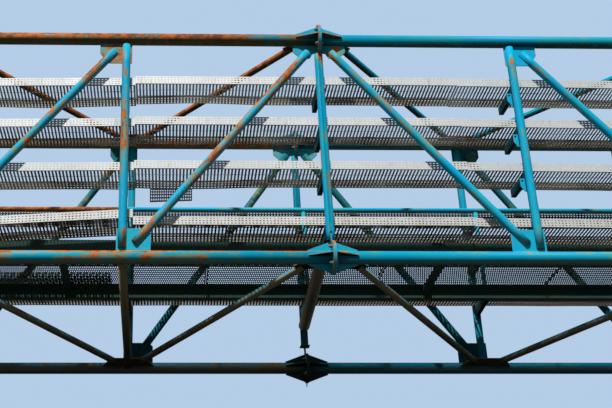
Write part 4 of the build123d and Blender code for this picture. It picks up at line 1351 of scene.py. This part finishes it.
class BRIDGE_OT_handrail(bpy.types.Operator):
    """Make the handrail and its posts."""

    bl_idname = "bridge.handrail"
    bl_label = "Handrail"

    def execute(self, context):
        low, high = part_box("handrail")
        y, z = middle("handrail").yz
        rail, posts = Shape(), Shape()
        pipe(rail, Vector((low.x, y, z)), Vector((high.x, y, z)), RAIL_OD, RAIL_WALL)
        rail.piece("handrail_tube", tube_finishes(paint_finish("rail")), "rail_paint", "handrail")
        foot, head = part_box("handrail_posts")
        for bay in BAYS:
            x = bay * BAY
            if abs(bay) == BAYS_EACH_SIDE:
                x -= math.copysign(RAIL_OD, bay)
            pipe(posts, Vector((x, y, foot.z)), Vector((x, y, head.z)), RAIL_POST_OD, RAIL_WALL)
        finish = tube_finishes(paint_finish("rail_posts"))
        posts.piece("handrail_post_tubes", finish, "rail_paint", "handrail_posts")
        return {"FINISHED"}


# Bearing feet

FOOT_HOLE_ANGLES = (math.radians(45), math.radians(225))
SADDLE_STEPS = 16


def bearing_foot(shape, base, z):
    """A foot plate, a tube and a saddle under the chord whose axis is at height z."""
    holes = []
    for angle in FOOT_HOLE_ANGLES:
        x, y = FOOT_HOLE_CIRCLE / 2 * math.cos(angle), FOOT_HOLE_CIRCLE / 2 * math.sin(angle)
        holes.append(circle(x, y, FOOT_HOLE / 2, HOLE_SIDES))
    half = FOOT_PLATE / 2
    square = rectangle(-half, half, -half, half)
    plate(shape, base + UP * FOOT_PLATE_THICK / 2, ALONG, BACK, square, FOOT_PLATE_THICK, holes)
    seat = z - CHORD_R - SADDLE_THICK
    pipe(shape, base + UP * FOOT_PLATE_THICK, base + UP * seat, FOOT_OD, FOOT_WALL, ALONG)
    width = SADDLE_WIDTH / 2
    top = seat + SADDLE_HEIGHT
    cut = math.acos((z - top) / CHORD_R)
    arc = [math.pi * 1.5 + cut * (1 - 2 * k / SADDLE_STEPS) for k in range(SADDLE_STEPS + 1)]
    outline = [(-width, seat), (width, seat), (width, top)]
    outline += [(CHORD_R * math.cos(a), z + CHORD_R * math.sin(a)) for a in arc]
    outline.append((-width, top))
    plate(shape, base, BACK, UP, outline, SADDLE_LENGTH)


class BRIDGE_OT_feet(bpy.types.Operator):
    """Make the bearing feet."""

    bl_idname = "bridge.feet"
    bl_label = "Bearing Feet"

    def execute(self, context):
        finish = tube_finishes(paint_finish("feet"))
        for side in ("front", "rear"):
            y, z = CHORDS[f"{side}_bottom"]
            shape = Shape()
            for way in (-1, 1):
                bearing_foot(shape, Vector((way * (HALF - FOOT_INSET), y, 0)), z)
            shape.piece(f"{side}_bearing_foot_steel", finish, "foot_steel", f"{side}_bearing_feet")
        return {"FINISHED"}


# Camera, light and floor

CAMERA_PLACE = (-1.6544, -11.0183, -3.435)
CAMERA_TILT, CAMERA_ROLL, CAMERA_HEADING = -0.4452, 0.0038, 0.0241
PHOTO_WIDTH = 612
FOCAL_PIXELS = 1072.2
OPTICAL_CENTRE = 192.8
SENSOR = 36.0
SUN_WAY = Vector((0.27, 1.0, -1.40))
SUN_SOFT = math.radians(2.5)
FLOOR_HALF = 60.0
VIEW_FAR = 500
# Rise of a ray where the light from above begins, and where it is all there
SKY_LOW, SKY_HIGH = -0.10, 0.60
# What the floor sends back to the underside of the bridge
FLOOR_BOUNCE = (0.062, 0.062, 0.058, 1)


class BRIDGE_OT_stage(bpy.types.Operator):
    """Set up the camera, the lamps, the background and the studio floor."""

    bl_idname = "bridge.stage"
    bl_label = "Stage"

    def execute(self, context):
        scene = context.scene
        stage = scene.bridge_stage
        scene.view_settings.view_transform = "Standard"
        data = bpy.data.cameras.new("photo_camera")
        data.sensor_width = SENSOR
        data.lens = SENSOR * FOCAL_PIXELS / PHOTO_WIDTH
        data.shift_x = 0.5 - OPTICAL_CENTRE / PHOTO_WIDTH
        data.clip_end = VIEW_FAR
        camera = bpy.data.objects.new("photo_camera", data)
        right, ahead, up = Euler((CAMERA_TILT, CAMERA_ROLL, CAMERA_HEADING)).to_matrix()
        turn = Matrix((right, up, -ahead)).transposed().to_4x4()
        camera.matrix_world = Matrix.Translation(CAMERA_PLACE) @ turn
        scene.collection.objects.link(camera)
        scene.camera = camera

        lamp = bpy.data.lights.new("main_lamp", "SUN")
        lamp.energy = stage.sun
        lamp.angle = SUN_SOFT
        sun = bpy.data.objects.new("main_lamp", lamp)
        sun.rotation_mode = "QUATERNION"
        sun.rotation_quaternion = SUN_WAY.to_track_quat("-Z", "Y")
        scene.collection.objects.link(sun)

        world = bpy.data.worlds.new("studio")
        world.use_nodes = True
        scene.world = world
        tree = world.node_tree
        tree.nodes.clear()
        way = add_node(tree, "ShaderNodeTexCoord").outputs["Generated"]
        rise = add_node(tree, "ShaderNodeSeparateXYZ", {0: way}).outputs["Z"]
        high = ease(tree, rise, SKY_LOW, SKY_HIGH)
        level = calc(tree, "MULTIPLY_ADD", high, stage.fill - stage.under, stage.under)
        soft = add_node(tree, "ShaderNodeBackground", {"Color": (1, 1, 1, 1), "Strength": level}).outputs[0]
        seen = add_node(tree, "ShaderNodeBackground", {"Color": tuple(stage.background)}).outputs[0]
        ray = add_node(tree, "ShaderNodeLightPath").outputs["Is Camera Ray"]
        both = add_node(tree, "ShaderNodeMixShader", {0: ray, 1: soft, 2: seen}).outputs[0]
        add_node(tree, "ShaderNodeOutputWorld", {"Surface": both})

        mesh = bpy.data.meshes.new("studio_floor")
        square = rectangle(-FLOOR_HALF, FLOOR_HALF, -FLOOR_HALF, FLOOR_HALF)
        mesh.from_pydata([(x, y, 0) for x, y in square], [], [(0, 1, 2, 3)])
        floor = bpy.data.objects.new("studio_floor", mesh)
        scene.collection.objects.link(floor)
        material = bpy.data.materials.new("studio_floor")
        material.use_nodes = True
        tree = material.node_tree
        tree.nodes.clear()
        rays = add_node(tree, "ShaderNodeLightPath").outputs
        tone = mix(tree, rays["Is Camera Ray"], FLOOR_BOUNCE, tuple(stage.floor))
        matt = add_node(tree, "ShaderNodeBsdfDiffuse", {"Color": tone}).outputs[0]
        clear = add_node(tree, "ShaderNodeBsdfTransparent").outputs[0]
        behind = add_node(tree, "ShaderNodeNewGeometry").outputs["Backfacing"]
        both = add_node(tree, "ShaderNodeMixShader", {0: behind, 1: matt, 2: clear}).outputs[0]
        add_node(tree, "ShaderNodeOutputMaterial", {"Surface": both})
        mesh.materials.append(material)
        return {"FINISHED"}


# Panel and registration

OPERATORS = [
    BRIDGE_OT_stage,
    BRIDGE_OT_chords,
    BRIDGE_OT_flange_joints,
    BRIDGE_OT_trusses,
    BRIDGE_OT_bracing,
    BRIDGE_OT_struts,
    BRIDGE_OT_trays,
    BRIDGE_OT_tray_arms,
    BRIDGE_OT_walkway,
    BRIDGE_OT_handrail,
    BRIDGE_OT_feet,
]
SETTINGS = {"bridge_sizes": BridgeSizes, "bridge_colours": BridgeColours, "bridge_stage": BridgeStage}


class BRIDGE_PT_panel(bpy.types.Panel):
    """Lists the bridge's settings and operators."""

    bl_idname = "BRIDGE_PT_panel"
    bl_label = "Footbridge"
    bl_space_type = "VIEW_3D"
    bl_region_type = "UI"
    bl_category = "Footbridge"

    def draw(self, context):
        for operator in OPERATORS:
            self.layout.operator(operator.bl_idname)
        for key, settings in SETTINGS.items():
            box = self.layout.box()
            box.label(text=settings.__doc__)
            for field in settings.__annotations__:
                box.prop(getattr(context.scene, key), field)


def register():
    """Adds the settings, the operators and the panel."""
    for settings in SETTINGS.values():
        bpy.utils.register_class(settings)
    for key, settings in SETTINGS.items():
        setattr(bpy.types.Scene, key, PointerProperty(type=settings))
    for operator in OPERATORS:
        bpy.utils.register_class(operator)
    bpy.utils.register_class(BRIDGE_PT_panel)


def unregister():
    """Takes the panel, the operators and the settings away again."""
    bpy.utils.unregister_class(BRIDGE_PT_panel)
    for operator in reversed(OPERATORS):
        bpy.utils.unregister_class(operator)
    for key, settings in SETTINGS.items():
        delattr(bpy.types.Scene, key)
        bpy.utils.unregister_class(settings)


def main():
    """Registers the add-on and makes every piece and the stage."""
    register()
    for operator in OPERATORS:
        group, name = operator.bl_idname.split(".")
        getattr(getattr(bpy.ops, group), name)()


if __name__ == "__main__":
    main()
